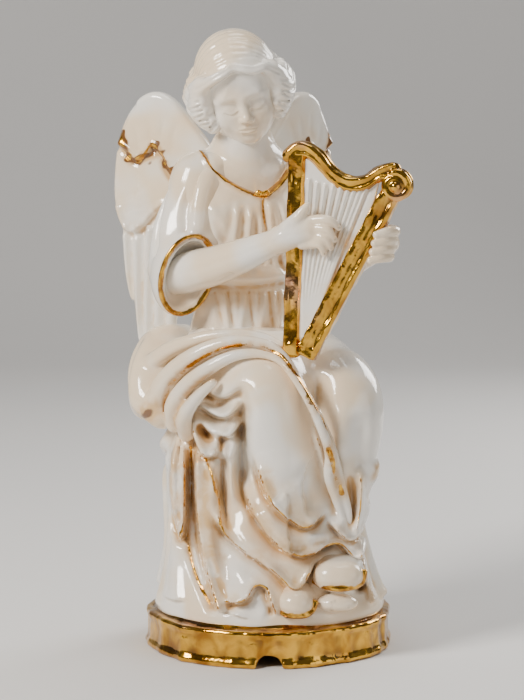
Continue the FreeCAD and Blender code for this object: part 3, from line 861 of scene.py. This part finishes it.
def left_sleeve():
    """The far sleeve, gathered in folds behind the harp."""
    clay = Clay((-6, -36, 172), (52, 30, 248), 0.65)
    clay.stroke([(13, 11, 227, 9.5), (19, 3, 218, 12), (25, -6, 203, 12.5), (31, -13, 191, 11)], 3)
    clay.stroke([(24, -2, 194, 9), (32, -8, 184, 8), (36, -12, 181, 6)], 6)
    clay.ball((36, -18, 188), (6.5, 6, 6.5), soft=1.2, carve=True)
    for i in range(5):
        t = i / 4
        start = np.array([15 + 7 * t, -6 + 3 * t, 226 - 9 * t])
        clay.stroke([(*start, 1.2), (*(start + (9, -5, -14)), 2.2), (*(start + (15, -9, -26)), 1.8)], 3)
        clay.stroke([(*(start + (3, -4, -3)), 0.8), (*(start + (11, -8, -17)), 1.3),
                     (*(start + (16, -11, -27)), 1.0)], 2, carve=True)
    points, quads = clay.mesh()
    make_piece("far_sleeve", "left_sleeve", ROBE, points, quads)


# ---------------------------------------------------------------- arms and hands
def near_hand():
    """Bare forearm that reaches across the body, and the hand that plucks the strings."""
    clay = Clay((-56, -62, 170), (38, 6, 226), 0.48)
    clay.stroke([(-46, -6, 182, 8.5), (-38, -12, 185.5, 10), (-25, -22, 189.5, 9.4), (-12, -32, 195, 8.0),
                 (0, -40, 200.5, 6.3), (7, -44, 203.8, 5.7)], 3)
    # Palm, knuckles, fingers and thumb.
    clay.stroke([(6, -44, 203.5, 6.0), (13, -47.5, 206.5, 6.2), (19, -49, 208, 5.6)], 3,
                flat=((0.25, -0.93, 0.2), 1.35))
    knuckles = [(21, -50, 212.5), (21.5, -50.5, 208.6), (21, -50, 204.8), (19.5, -49, 201.6)]
    tips = [(32.5, -51.5, 209.0), (30.6, -51.6, 203.6), (29.0, -50.6, 199.6), (25.8, -49.6, 196.8)]
    for (kx, ky, kz), (tx, ty, tz) in zip(knuckles, tips):
        bend = ((kx + tx) / 2 + 1.2, (ky + ty) / 2 - 2.4, (kz + tz) / 2 + 2.0)
        clay.stroke([(kx - 4, ky + 1, kz - 0.6, 2.5), (kx, ky, kz, 2.6), (*bend, 2.15), (tx, ty, tz, 1.55)],
                    1.1)
    clay.stroke([(8, -47, 209, 3.2), (12.5, -49.5, 213, 2.9), (15.6, -50.5, 216.6, 2.4),
                 (17.6, -50.8, 219.2, 1.6)], 1.6)
    for tx, ty, tz in tips:
        clay.ball((tx + 0.4, ty - 1.25, tz + 0.3), (0.9, 0.4, 0.8), soft=0.3, carve=True)
    clay.stroke([(-34, -24, 178.5, 0.5), (-26, -28, 181, 0.7), (-18, -33, 186, 0.4)], 2, carve=True)
    points, quads = clay.mesh()
    make_piece("near_forearm", "right_forearm", SKIN, points, quads)


def far_hand():
    """The far forearm, and the hand that holds the harp's soundbox from behind."""
    clay = Clay((16, -66, 178), (68, -4, 218), 0.42)
    clay.stroke([(26, -13, 189, 8), (37, -23, 190, 7), (46, -32, 195, 6.2), (52, -37, 199, 6)], 3)
    clay.stroke([(50, -38, 199, 6), (55, -43, 201.5, 6.5), (55, -49, 202, 5.0)], 3)
    for i in range(4):
        z = 207.6 - 4.0 * i
        x = 57.6 - 0.9 * i
        clay.stroke([(x, -42, z, 2.6), (x + 1.4, -49, z - 0.2, 2.7), (x - 2.6, -54.6, z - 0.4, 2.4),
                     (x - 7.6, -56.4, z - 1.6, 1.8)], 0.9)
    clay.stroke([(46, -40, 201, 2.8), (40, -44, 202, 2.5), (36, -46.5, 203, 2.0)], 1.4)
    points, quads = clay.mesh()
    make_piece("far_forearm", "left_forearm", SKIN, points, quads)


# ---------------------------------------------------------------- harp
HARP_TURN = turn("Z", -12)
HARP_NECK = [(-2.6, 92.5), (1.5, 95.5), (6.5, 95.0), (12, 91), (18.5, 83.5), (26, 79.5), (34, 80.2),
             (41, 84.5), (47, 86.5)]
HARP_SCROLL = (48.5, 78.5)


def harp():
    """A gilt frame with a bevelled pillar, an S-curved neck that ends in a scroll, and a square soundbox."""
    origin = np.array([12.0, -41.0, 150.0]) + (node_box("harp_pillar")[2] - (12.2, -41.1, 196.0))

    pillar = Clay((-9, -8, -3), (12, 8, 98), 0.45)
    pillar.stroke([(-1.0, 0, 1, 5.2), (0.2, 0, 45, 5.1), (1.6, 0, 92, 5.0)], 0.5, spacing=6)
    x, y, z = pillar.grid()
    slope = x - (-1.0 + 2.6 * z / 91)
    facet = np.maximum(np.abs(slope) - 4.1, np.abs(y) - 3.8)
    pillar.field[:] = np.maximum(np.maximum(pillar.field, facet), 0.8 * slope - 0.6 * y - 4.3)
    groove = np.maximum(np.hypot(slope + 1.3, y + 4.3) - 1.0, np.abs(z - 46) - 42)
    pillar.join(groove, 0.8, carve=True)
    gilt(pillar, "gilt_pillar", "harp_pillar", origin)

    box = Clay((0, -9, -6), (58, 9, 86), 0.5)
    way = np.array([41.0, 78.0])
    way /= np.linalg.norm(way)
    x, y, z = box.grid()
    along = (x - 6.6) * way[0] + z * way[1]
    across = (x - 6.6) * way[1] - z * way[0]
    body = np.maximum(np.abs(across) - 4.8, np.abs(y) - 4.6)
    body = np.maximum(body, np.abs(across) * 0.7 - y * 0.7 - 5.6)
    ends = np.maximum(-2.5 - along, along - 86)
    box.field[:] = np.maximum(body, ends).astype(np.float32)
    groove = np.maximum(np.hypot(across - 1.3, y + 4.9) - 0.9, np.abs(along - 43) - 40)
    box.join(groove, 0.9, carve=True)
    step = np.maximum(np.abs(across + 3.4) - 1.5, np.abs(y + 4.4) - 0.9)
    box.join(np.maximum(step, np.abs(along - 42) - 41), 0.8)
    gilt(box, "gilt_soundbox", "harp_soundbox", origin)

    neck = Clay((-9, -10, 66), (62, 10, 102), 0.42)
    bar = [(u, 0, v, 3.5 + 0.5 * math.sin(math.pi * i / 8)) for i, (u, v) in enumerate(HARP_NECK)]
    neck.stroke(bar, 0.5)
    neck.stroke([(u, -3.2, v + 1.9, 1.3) for u, v in HARP_NECK], 0.9)
    neck.stroke([(u, -3.2, v - 2.1, 0.9) for u, v in HARP_NECK[1:]], 0.7)
    neck.stroke([(u, 3.2, v + 1.9, 1.3) for u, v in HARP_NECK], 0.9)
    neck.stroke([(-4.6, 0, 93.5, 0.9), (-1.5, 0, 94.8, 2.0), (3, 0, 96, 2.2)], 1.5)
    u, v = HARP_SCROLL
    winding = [(math.radians(a), 2.6 + 4.0 * (a + 420) / 520) for a in range(100, -421, -26)]
    for side in (-1, 1):
        neck.stroke([(u + s * math.cos(a), side * 3.2, v + s * math.sin(a), 2.0) for a, s in winding], 0.7)
        neck.ball((u, side * 3.4, v), (2.7, 2.6, 2.7), soft=0.6)
    x, y, z = neck.grid()
    neck.join(np.maximum(np.hypot(x - u, z - v) - 6.6, np.abs(y) - 4.0), 0.9)
    gilt(neck, "gilt_neck", "harp_neck", origin)
    strings(origin)


def gilt(clay, name, node, origin):
    """Makes a gold piece of the harp, its surface a little lumpy under the lustre."""
    lumps = waves(21, 7, 16, 4)
    clay.field[:] = clay.field - 0.22 * lumps(*clay.grid())
    points, quads = clay.mesh()
    make_piece(name, node, GOLD, place(points, HARP_TURN, origin), quads)


def strings(origin):
    """The cast web of strings: soft ridges that fan up from the harp's foot to its neck."""
    web = Clay((-3, -5, 0), (50, 5, 96), 0.4)
    y = web.grid()[1]
    outline = [(2.0, 4), (5.2, 91), (11, 90), (18, 82), (26, 78), (36, 79.5), (41, 82.5), (38.5, 72),
               (28.5, 48), (19, 30), (8.5, 4)]
    inside = polygon_distance(outline, web.axes[0], web.axes[2])[:, None, :]
    web.field[:] = np.maximum(inside, np.abs(y + 0.3) - 1.5).astype(np.float32)
    ridge = Relief(web.axes[0], web.axes[2])
    for i in range(9):
        t = (i + 0.35) / 8.6
        top = (6 + 34 * t, 92 - 12 * math.sin(math.pi * min(1.0, 0.25 + 0.7 * t)))
        foot = (3.4 + 4.2 * t, 4)
        bow = ((top[0] + foot[0]) / 2 - 0.8 * t, (top[1] + foot[1]) / 2)
        ridge.fold([foot, bow, top], 1.6, 0.95, 0.95, (0.05, 0.04))
        ridge.fold([(foot[0] + 0.25, foot[1]), (bow[0] + 1.0, bow[1]), (top[0] + 2.0, top[1])], -0.6, 0.8,
                   0.8, (0.3, 0.05), 0, 0.3)
    web.field -= ridge.height[:, None, :] * np.where(y < 0, 1, 0.8)
    points, quads = web.mesh(1)
    amber = ridge.seen(ridge.amber, points)
    make_piece("harp_strings", "harp_string_web", STRINGS,
               place(points, HARP_TURN, origin), quads, None, amber)


def polygon_distance(outline, u, v):
    """Signed distance to a closed outline over a grid of u and v, negative inside."""
    ring = np.array([*outline, outline[0]], float)
    uu, vv = u[:, None], v[None, :]
    best = np.full((len(u), len(v)), 1e6)
    inside = np.zeros(best.shape, bool)
    for (a0, a1), (b0, b1) in zip(ring, ring[1:]):
        du, dv = b0 - a0, b1 - a1
        t = np.clip(((uu - a0) * du + (vv - a1) * dv) / (du * du + dv * dv), 0, 1)
        best = np.minimum(best, (uu - a0 - t * du) ** 2 + (vv - a1 - t * dv) ** 2)
        if a1 != b1:
            crosses = ((a1 > vv) != (b1 > vv)) & (uu < (b0 - a0) * (vv - a1) / (b1 - a1) + a0)
            inside ^= crosses
    return np.where(inside, -1, 1) * np.sqrt(best)


# ---------------------------------------------------------------- wings
WING_OUTLINE = [
    (2, -38), (9, -27), (17, -17), (25, -7), (32, -1.5), (39, -0.5), (46, -4), (53, -12), (58, -23),
    (60.5, -36), (61.5, -50), (60, -62), (56.5, -72), (55, -86), (52, -100), (49, -114), (45.5, -128),
    (41, -137), (36, -135), (29, -122), (21, -100), (12, -80), (4, -64), (0, -52),
]


def wing(name, node, side, sweep, root):
    """One wing in its own plane: smooth coverts, a second rounded row, and long pinions below."""
    clay = Clay((-6, -9, -141), (66, 9, 4), 0.62)
    ring = smooth_line(WING_OUTLINE + WING_OUTLINE[:1], 1.5, 2)[:, :2]
    flat = polygon_distance(ring[:-1], clay.axes[0], clay.axes[2])[:, None, :]
    _, y, z = clay.grid()
    thick = 3.6 - 1.7 * rise(-z, 60, 140) - 0.7 * rise(-z, 20, 70)
    clay.field[:] = round_max(flat, np.abs(y) - thick, 4.0).astype(np.float32) - 0.6
    r = Relief(clay.axes[0], clay.axes[2])
    # Coverts end in a ragged scalloped edge with brown-gold dabs; the second row is one swelling lobe.
    r.hem([(12, -53), (19, -50), (25, -44), (29, -38), (33, -31), (38, -27), (42, -31), (47, -34),
           (52, -30), (60, -25)], 1.5, 26, (0.05, 0.05), 0.5, 0.5, 0.6, 0.9)
    r.hem([(8, -72), (16, -67), (24, -62), (31, -57), (37, -60), (44, -67), (51, -70.5), (57, -66),
           (61, -55)], 1.6, 16, (0.05, 0.05), 0, 0.45, 0.8, 1.0)
    r.fold([(50, -50), (47, -56), (45, -62)], 0.8, 9, 9)
    for top, foot in ((57, 50), (50, 46.5), (42.5, 43), (35, 38), (27, 31.5), (19, 24), (11, 16)):
        start = -66 if top > 20 else -60
        end = -138 + 0.055 * (foot - 43) ** 2
        line = [(top, start), ((top + foot) / 2 + 1, (start + end) / 2), (foot, end)]
        r.hem(line[::-1], 0.9, 5, (0.06, 0.04), 0, 0.25, 0.6, 0.9)
        r.fold([(u + 2.8, v) for u, v in line], -0.35, 1.2, 1.2, (0.2, 0.1))
    for u, v, slope in ((22, -12, 10), (30, -10, 6), (40, -9, -2), (49, -14, -6)):
        r.fold([(u, v), (u + slope * 0.4, v - 8), (u + slope * 0.5, v - 16)], -0.35, 1.6, 1.6, (0.4, 0.4))
    clay.field -= r.height[:, None, :]
    points, quads = clay.mesh()
    # Brown-gold dabs along the coverts' edge.
    dabs = smooth_line([(24, -45), (28, -41), (31, -37), (33, -32), (37, -26), (38, -30), (43, -32),
                        (48, -34), (52, -33), (54, -28), (56, -21)], 1.0, 2)[:, :2]
    flatwise = points[:, [0, 2]]
    dab = near_line(flatwise, dabs)
    patchy = waves(31 + side, 6, 14, 4)(points[:, 0], points[:, 1] * 0, points[:, 2])
    front = points[:, 1] < 0
    dark = np.where(front, np.clip(1.25 - dab / 2.6 + 0.6 * patchy, 0, 1), 0)
    dabbed = np.where(front & (patchy > 0.15), 1.0 - dab * 0.7, NO_GOLD)
    gold = np.maximum(r.seen(r.gold, points), dabbed)
    amber = np.maximum(r.seen(r.amber, points), np.clip(1.3 - dab / 3.5, 0, 1))
    bend = 0.0016 * (points[:, 0] - 20) ** 2 - 0.0004 * (points[:, 2] + 60) ** 2
    points[:, 1] += bend + 0.5
    points[:, 0] *= side
    if side < 0:
        quads = quads[:, ::-1]
    make_piece(name, node, WINGS, place(points, turn("Z", sweep), root), quads, gold, amber,
               dark)


def wings():
    """Both wings, each swept back from a root that is placed from the middle of its CAD blade."""
    for name, node, side, sweep, root in (
        ("near_wing", "right_wing", -1, -21, (26.2, -7.0, 68.5)),
        ("far_wing", "left_wing", 1, 45, (-21.0, -17.7, 68.5)),
    ):
        wing(name, node, side, sweep, node_box(node)[2] + root)


# ---------------------------------------------------------------- head
HEAD_TURN = turn("Z", 2) @ turn("Y", -13) @ turn("X", 21)


def head_origin():
    """Where the middle of the sculpted head sits, from its CAD casting."""
    return node_box("head")[2] + (-0.7, -2.7, 13.5)


def face():
    """A calm, downcast face of ideal proportions: thirds from hairline to brow, nose and chin."""
    clay = Clay((-25, -30, -32), (25, 30, 30), 0.44)
    clay.ball((0, 4, 5), (18, 20.5, 20.5), soft=1)
    clay.ball((0, -4.5, -3.5), (14.4, 14.0, 18.5), soft=7)
    clay.stroke([(-10.5, 1, -8, 4.8), (-8.0, -5, -14.4, 5.0), (0, -11, -17.6, 5.0), (8.0, -5, -14.4, 5.0),
                 (10.5, 1, -8, 4.8)], 7)
    clay.ball((0, -8.5, 8), (12.5, 10.3, 10.5), soft=6)
    clay.ball((0, -14.6, -18.4), (3.6, 2.6, 2.6), soft=5)
    for side in (-1, 1):
        clay.ball((side * 8.2, -12.2, -7.6), (5.2, 4.4, 5.2), soft=6)
        clay.stroke([(side * 11.0, -13.6, 1.8, 1.3), (side * 6.8, -16.9, 3.4, 1.6),
                     (side * 2.6, -17.6, 2.0, 1.2)], 4)
        clay.ball((side * 6.2, -20.6, -0.9), (4.6, 4.0, 2.9), soft=4, carve=True)
    clay.stroke([(0, -17.0, 2.0, 1.6), (0, -18.7, -2.6, 1.6), (0, -20.4, -6.4, 1.8)], 3.0)
    clay.ball((0, -20.8, -7.3), (1.9, 1.9, 1.7), soft=1.8)
    for side in (-1, 1):
        clay.ball((side * 2.1, -19.2, -8.0), (1.3, 1.6, 1.2), soft=1.4)
        clay.ball((side * 6.3, -14.0, -2.0), (3.8, 3.5, 2.5), soft=3.0)
    clay.ball((0, -15.4, -12.8), (4.8, 2.6, 2.8), soft=5)
    details(clay)
    points, quads = clay.mesh()
    make_piece("face", "head", SKIN, place(points, HEAD_TURN, head_origin()), quads)


def details(clay):
    """Lowered lids, nostrils and mouth, laid on the face from the front."""
    for side in (-1, 1):
        lash = [(side * 9.7, 0, -2.7), (side * 8.2, 0, -3.7), (side * 6.3, 0, -4.1), (side * 4.5, 0, -3.7),
                (side * 3.3, 0, -2.9)]
        clay.stroke(clay.drop([(*p, 0.4) for p in lash], 0.0), 1.0)
        clay.stroke(clay.drop([(x, y, z - 0.75, 0.45) for x, y, z in lash], 0.12), 0.7, carve=True)
        clay.stroke(clay.drop([(side * 1.0, 0, -9.2, 0.5), (side * 1.6, 0, -9.0, 0.5)], -0.2), 0.6,
                    carve=True)
    clay.stroke(clay.drop([(0, 0, -9.8, 0.5), (0, 0, -11.2, 0.5)], 0.2), 1.2, carve=True)
    # Each lip is a row across: place and thickness.
    for rows, lift, soft, carve in (
        ([(4.3, -12.9, 0.4), (2.6, -12.4, 0.65), (0.9, -12.0, 0.75), (0, -12.2, 0.7)], -0.05, 1.2, False),
        ([(3.4, -13.8, 0.5), (1.8, -14.3, 0.85), (0, -14.5, 0.95)], -0.05, 1.2, False),
        ([(4.6, -13.0, 0.32), (2.3, -13.2, 0.4), (0, -13.3, 0.44)], 0.12, 0.5, True),
        ([(1.8, -16.0, 0.5), (0, -16.2, 0.6)], 0.3, 2.0, True),
    ):
        row = [(-x, 0, z, r) for x, z, r in rows] + [(x, 0, z, r) for x, z, r in rows[-2::-1]]
        clay.stroke(clay.drop(row, lift), soft, carve)


# Locks of the wavy bob: height, how far out to the side, and thickness.
LOCKS = [(6.6, 20.6, 4.0), (2.2, 22.6, 4.4), (-2.8, 22.0, 4.3), (-7.4, 20.0, 4.0), (-11.4, 17.2, 3.4)]


def hair():
    """A smooth cap with a centre parting and a soft fringe, and a wavy bob at the sides and back."""
    clay = Clay((-34, -30, -24), (34, 34, 33), 0.52)
    clay.ball((0, 5, 7.5), (20.2, 24, 21.5), soft=1)
    clay.ball((0, 10, -2), (19.5, 17, 17), soft=6)
    clay.ball((0, -23, -6), (14.0, 16, 21.5), soft=3, carve=True)
    clay.ball((0, -4, -30), (16, 18, 15), soft=3, carve=True)
    dice = np.random.default_rng(5)
    for side in (-1, 1):
        swell = 0.4 if side > 0 else 0.0
        clay.stroke([(side * 17, -10, 12, 4), (side * 18, -9.5, 0, 4.4), (side * 15.5, -8.5, -10, 4)], 3)
        for height, reach, thick in LOCKS:
            lift, sway = dice.uniform(-1.2, 1.2, 2)
            row = [(reach - 3.6, -13.2, height + 2.2 + sway, thick * 0.5),
                   (reach - 1.2, -10.8, height + 0.4, thick * 0.85),
                   (reach + swell, -5.5, height - 1.2, thick),
                   (reach + 0.8 + swell, 0.5, height + 0.9 + lift, thick),
                   (reach - 0.6, 7.0, height - 1.2 + sway, thick),
                   (reach - 2.8, 14.5, height + 0.9 + lift, thick),
                   (reach * 0.55, 22.5 + 0.2 * height, height - 1.0, thick),
                   (0.5, 25.4 + 0.2 * height, height, thick)]
            row = [(side * across, *rest) for across, *rest in row]
            clay.stroke(row, 2.4)
            # Two fine lines follow each lock.
            for rise_by, depth in ((-0.45, 0.4), (0.4, 0.35)):
                line = []
                for across, deep, up, size in row[:-1]:
                    way = np.array([across, deep - 3.0, 0])
                    way *= 0.9 * size / np.linalg.norm(way)
                    line.append((across + way[0], deep + way[1], up + rise_by * size, depth))
                clay.stroke(line, 1.3, carve=True)
    fringe = (
        [(-1.0, -17.6, 19.4, 1.0), (-6, -18.4, 17.4, 2.1), (-12, -17.0, 14.8, 2.6), (-17.0, -13.4, 11.8, 3.0),
         (-20.5, -8, 9.5, 3.4)],
        [(-2.0, -17.4, 19.6, 1.0), (3.5, -18.8, 17.8, 2.0), (8.5, -18.4, 15.8, 2.3), (13.5, -16.4, 15.4, 2.5),
         (17.5, -13.0, 11.4, 2.8), (20.5, -8, 8.0, 3.2)],
    )
    for rows in fringe:
        clay.stroke(rows, 3.0)
        groove = [(x, y - 0.4 * r, z + 0.5 * r, 0.4) for x, y, z, r in rows]
        clay.stroke(clay.drop(groove, 0.1), 1.2, carve=True)
    strands(clay, dice)
    points, quads = clay.mesh()
    make_piece("hair", None, HAIR, place(points, HEAD_TURN, head_origin()), quads)


def strands(clay, dice):
    """Shallow waves combed from the parting, over the cap and round the back."""
    for side in (-1, 1):
        for i in range(10):
            back = i / 9
            y0 = -15 + 36 * back
            start = (side * 1.2, y0, 27 - 14 * (back * 1.3 - 0.45) ** 2)
            mid = (side * (16 + dice.uniform(-1, 1)), y0 * 0.9 + dice.uniform(-1.5, 1.5), 21 - 3 * back)
            low = (side * 26, y0 * 0.75 + 2, 12 - 4 * back + dice.uniform(-2, 2))
            rows = []
            for p in smooth_line([start, mid, low], 2.0):
                way = np.array([0, 5, 2.0]) - p
                way /= np.linalg.norm(way)
                spot = clay.drop([p - way * 12], 0.68, way, 0)[0]
                rows.append((*spot[:3], 0.8))
            clay.stroke(rows, 0.9, carve=True, spacing=1.2)


# ---------------------------------------------------------------- cloak
def cloak():
    """The cloak's end over the hip and its rolled edge, which crosses the lap and drops between the shins."""
    clay = Clay((-76, -64, 58), (44, 52, 164), 0.75)
    clay.ball((-51, 12, 133), (16, 27, 20), turn("Y", 20), 2)
    clay.stroke([(-44, 30, 146, 10), (-54, 14, 146, 10), (-60, 0, 136, 10), (-60, -9, 125, 9.5),
                 (-52, -17, 117, 8)], 7)
    clay.stroke([(-58, 12, 120, 10), (-60, 0, 119, 8)], 6)
    clay.stroke([(-66, 6, 150, 1.2), (-70, -2, 138, 2.2), (-67, -8, 124, 1.4)], 6, carve=True)
    clay.stroke([(-56, 30, 152, 1.2), (-66, 20, 140, 2.2), (-66, 10, 124, 1.4)], 6, carve=True)
    strands_of_roll = (
        ([(-52, -17, 116, 5.5), (-53, -21, 126, 6), (-46, -27, 138, 5), (-33, -33, 148, 4.2),
          (-18, -37, 153.5, 3.4), (-5, -39, 153, 3.0), (4, -42, 149.5, 2.8), (11, -48, 141, 2.6),
          (17, -53, 131, 2.4), (23, -54, 119, 2.6), (28, -50, 107, 3.0), (31.5, -45.5, 94, 3.2),
          (35, -42.5, 82, 2.7), (38, -41, 71, 1.9), (38, -41, 62, 1.0)], 1.6),
        ([(-46, -22, 112, 4), (-46, -28, 122, 4.4), (-39, -34, 133, 4.0), (-28, -40, 142, 3.4),
          (-16, -43, 148, 2.8), (-4, -45, 149, 2.2), (5, -48, 146, 2.0), (12, -53, 138, 1.9),
          (19, -56.5, 127, 2.0), (25, -56.5, 114, 2.2), (29, -51, 102, 2.8), (28.5, -48, 91, 2.6),
          (32, -44, 79, 2.2), (35.5, -42.5, 68, 1.3)], 1.2),
        ([(-40, -26, 108, 4), (-41, -33, 117, 4.2), (-35, -39, 127, 3.2), (-27, -43.5, 135, 2.2)], 1.6),
        ([(-58, -8, 140, 4.5), (-48, -18, 148, 4.0), (-34, -26, 154, 3.2), (-18, -31, 157, 2.6),
          (-4, -34, 156, 2.2),
          (6, -38, 152, 2.0)], 1.6),
    )
    for rows, soft in strands_of_roll:
        clay.stroke(rows, soft)
    gaps = (
        [(-50, -24, 118, 1.0), (-48, -29, 130, 1.3), (-38, -35, 141, 1.2), (-25, -40, 149, 1.0),
         (-10, -43, 152.5, 0.8), (3, -46, 149, 0.7), (11, -51.5, 140.5, 0.7), (18, -56, 129.5, 0.7),
         (25, -56, 116, 0.8), (30, -52, 98, 0.7), (35, -46, 82, 0.6)],
        [(-44, -30, 112, 0.9), (-43, -35, 122, 1.1), (-35, -40, 132, 0.9), (-27, -44, 138, 0.7)],
    )
    for rows in gaps:
        clay.stroke(rows, 1.0, carve=True)
    points, quads = clay.mesh()
    gold = np.full(len(points), NO_GOLD)
    amber = np.zeros(len(points))
    for rows, width in ((gaps[0], 1.15), (gaps[1], 0.5)):
        gap = near_line(points, smooth_line(rows, 1.5)[:, :3])
        gold = np.maximum(gold, width - np.abs(gap - 0.8) - 0.7 * rise(-points[:, 0], 32, 50)
                          - 0.55 * rise(-points[:, 2], -112, -100))
        amber = np.maximum(amber, 0.9 * np.exp(-(gap / 3.2) ** 2))
    # One brown stain on the hip's overhang, drawn from the front.
    across, up = points[:, 0] + 59, points[:, 2] - 117
    spot = np.hypot(across * 0.7, up - 0.5 * across) + 9 * (points[:, 1] > -4)
    dark = np.clip(1.25 - spot / 3.0, 0, 1)
    amber = np.maximum(amber, np.clip(1.3 - spot / 7.0, 0, 1))
    make_piece("cloak", "mantle", ROBE, points, quads, gold, amber, dark)


# ---------------------------------------------------------------- shoes
def shoes():
    """Two rounded toes that show under the hem, each with its gilt sole line."""
    for name, node, heel, toe, wide, size in (
        ("near_shoe", "right_foot", (14, -42, 31), (12.5, -51.0, 30), 0.3, 8.4),
        ("far_shoe", "left_foot", (34, -34, 43), (33, -44.5, 42), 3.4, 9.6),
    ):
        heel, toe = np.array(heel, float), np.array(toe, float)
        clay = Clay(toe - (20, 14, 18), heel + (20, 16, 16), 0.5)
        for side in (-1, 1):
            clay.stroke([(*(heel + (side * wide, 0, 0)), size),
                         (*(toe + (side * wide, 0, 0)), size - 1.0)], 4, flat=((0, 0, 1), 1.15))
        sole = [toe + (-7.8 - wide, 1, -3.0), toe + (-4, 3.2 - size, -4.6), toe + (4, 3.0 - size, -4.8),
                toe + (7.6 + wide, -1.5, -3.4), toe + (9.4 + wide, 0, 0.5 * wide)]
        clay.stroke([(*p, 1.5) for p in sole], 1.0)
        if wide > 1:
            clay.ball(toe + (-0.5, -1.5, -13), (10, 6.5, 4.6), soft=2)
        clay.field[:] = np.maximum(clay.field, DECK - 0.5 - clay.grid()[2])
        points, quads = clay.mesh()
        gap = near_line(points, smooth_line(sole, 1.0))
        # Painted shade: the bump under the far toe is darkened a little through the stain layer.
        below = np.where(points[:, 2] < toe[2] - 8.5, 0.35, 0.0) * (wide > 1)
        make_piece(name, node, ROBE, points, quads, 2.1 - gap,
                   0.8 * np.exp(-(gap / 3.4) ** 2), below)


plinth()
robe()
cloak()
bodice()
right_sleeve()
left_sleeve()
near_hand()
far_hand()
harp()
wings()
face()
hair()
shoes()

# ---------------------------------------------------------------- floor, light and camera
EYE = Vector((-3.4, -1150.0, 270.0)) * MM      # where the camera stands
AIM = Vector((-3.4, 0.0, 145.9)) * MM          # what it looks at
SENSOR = 36                                    # width of its sensor, and its focal length, in millimetres
LENS = 120.6


def studio():
    """A pale sweep, a soft key from the upper left, a fill, a top light and a rim, and the camera."""
    floor_mesh = bpy.data.meshes.new("floor")
    wide, back = 3.0, 1.2
    rows = [(-wide, 0.0), *[(back + 0.6 * math.sin(a), 0.6 * (1 - math.cos(a))) for a in
                            np.linspace(0, math.pi / 2, 12)], (back + 0.6, 3.0)]
    points = [(s * wide, y, z) for y, z in rows for s in (-1, 1)]
    faces = [(2 * i, 2 * i + 1, 2 * i + 3, 2 * i + 2) for i in range(len(rows) - 1)]
    floor_mesh.from_pydata(points, [], faces)
    floor_mesh.shade_smooth()
    m = Nodes("floor_paper")
    m.feed(m.shader.inputs["Base Color"], m.mix(m.noise(300, 2.0), (0.74, 0.74, 0.74, 1),
                                                (0.78, 0.775, 0.77, 1)))
    m.shader.inputs["Roughness"].default_value = 0.9
    floor_mesh.materials.append(m.material)
    floor = bpy.data.objects.new("floor", floor_mesh)
    bpy.context.collection.objects.link(floor)

    target = Vector((0, 0, 0.15))
    for name, place, size, power, tone in (
        ("key", (-1.00, -0.80, 0.95), 0.45, 29.0, (1.0, 0.945, 0.875)),
        ("fill", (1.2, -0.8, 0.35), 0.9, 3.8, (1.0, 0.965, 0.92)),
        ("top", (0.1, 0.1, 1.3), 0.6, 5.0, (1.0, 0.98, 0.95)),
        ("rim", (0.8, 0.7, 0.6), 0.5, 9.0, (1.0, 0.97, 0.93)),
    ):
        data = bpy.data.lights.new(name, "AREA")
        data.size = size
        data.energy = power
        data.color = tone
        lamp = bpy.data.objects.new(name, data)
        lamp.location = place
        lamp.rotation_euler = (target - lamp.location).to_track_quat("-Z", "Y").to_euler()
        bpy.context.collection.objects.link(lamp)

    world = bpy.data.worlds.new("studio")
    world.use_nodes = True
    world.node_tree.nodes["Background"].inputs["Color"].default_value = (0.50, 0.50, 0.51, 1)
    world.node_tree.nodes["Background"].inputs["Strength"].default_value = 0.24
    bpy.context.scene.world = world

    data = bpy.data.cameras.new("camera")
    data.lens = LENS
    data.sensor_width = SENSOR
    camera = bpy.data.objects.new("camera", data)
    camera.location = EYE
    camera.rotation_euler = (AIM - EYE).to_track_quat("-Z", "Y").to_euler()
    bpy.context.collection.objects.link(camera)
    bpy.context.scene.camera = camera


studio()
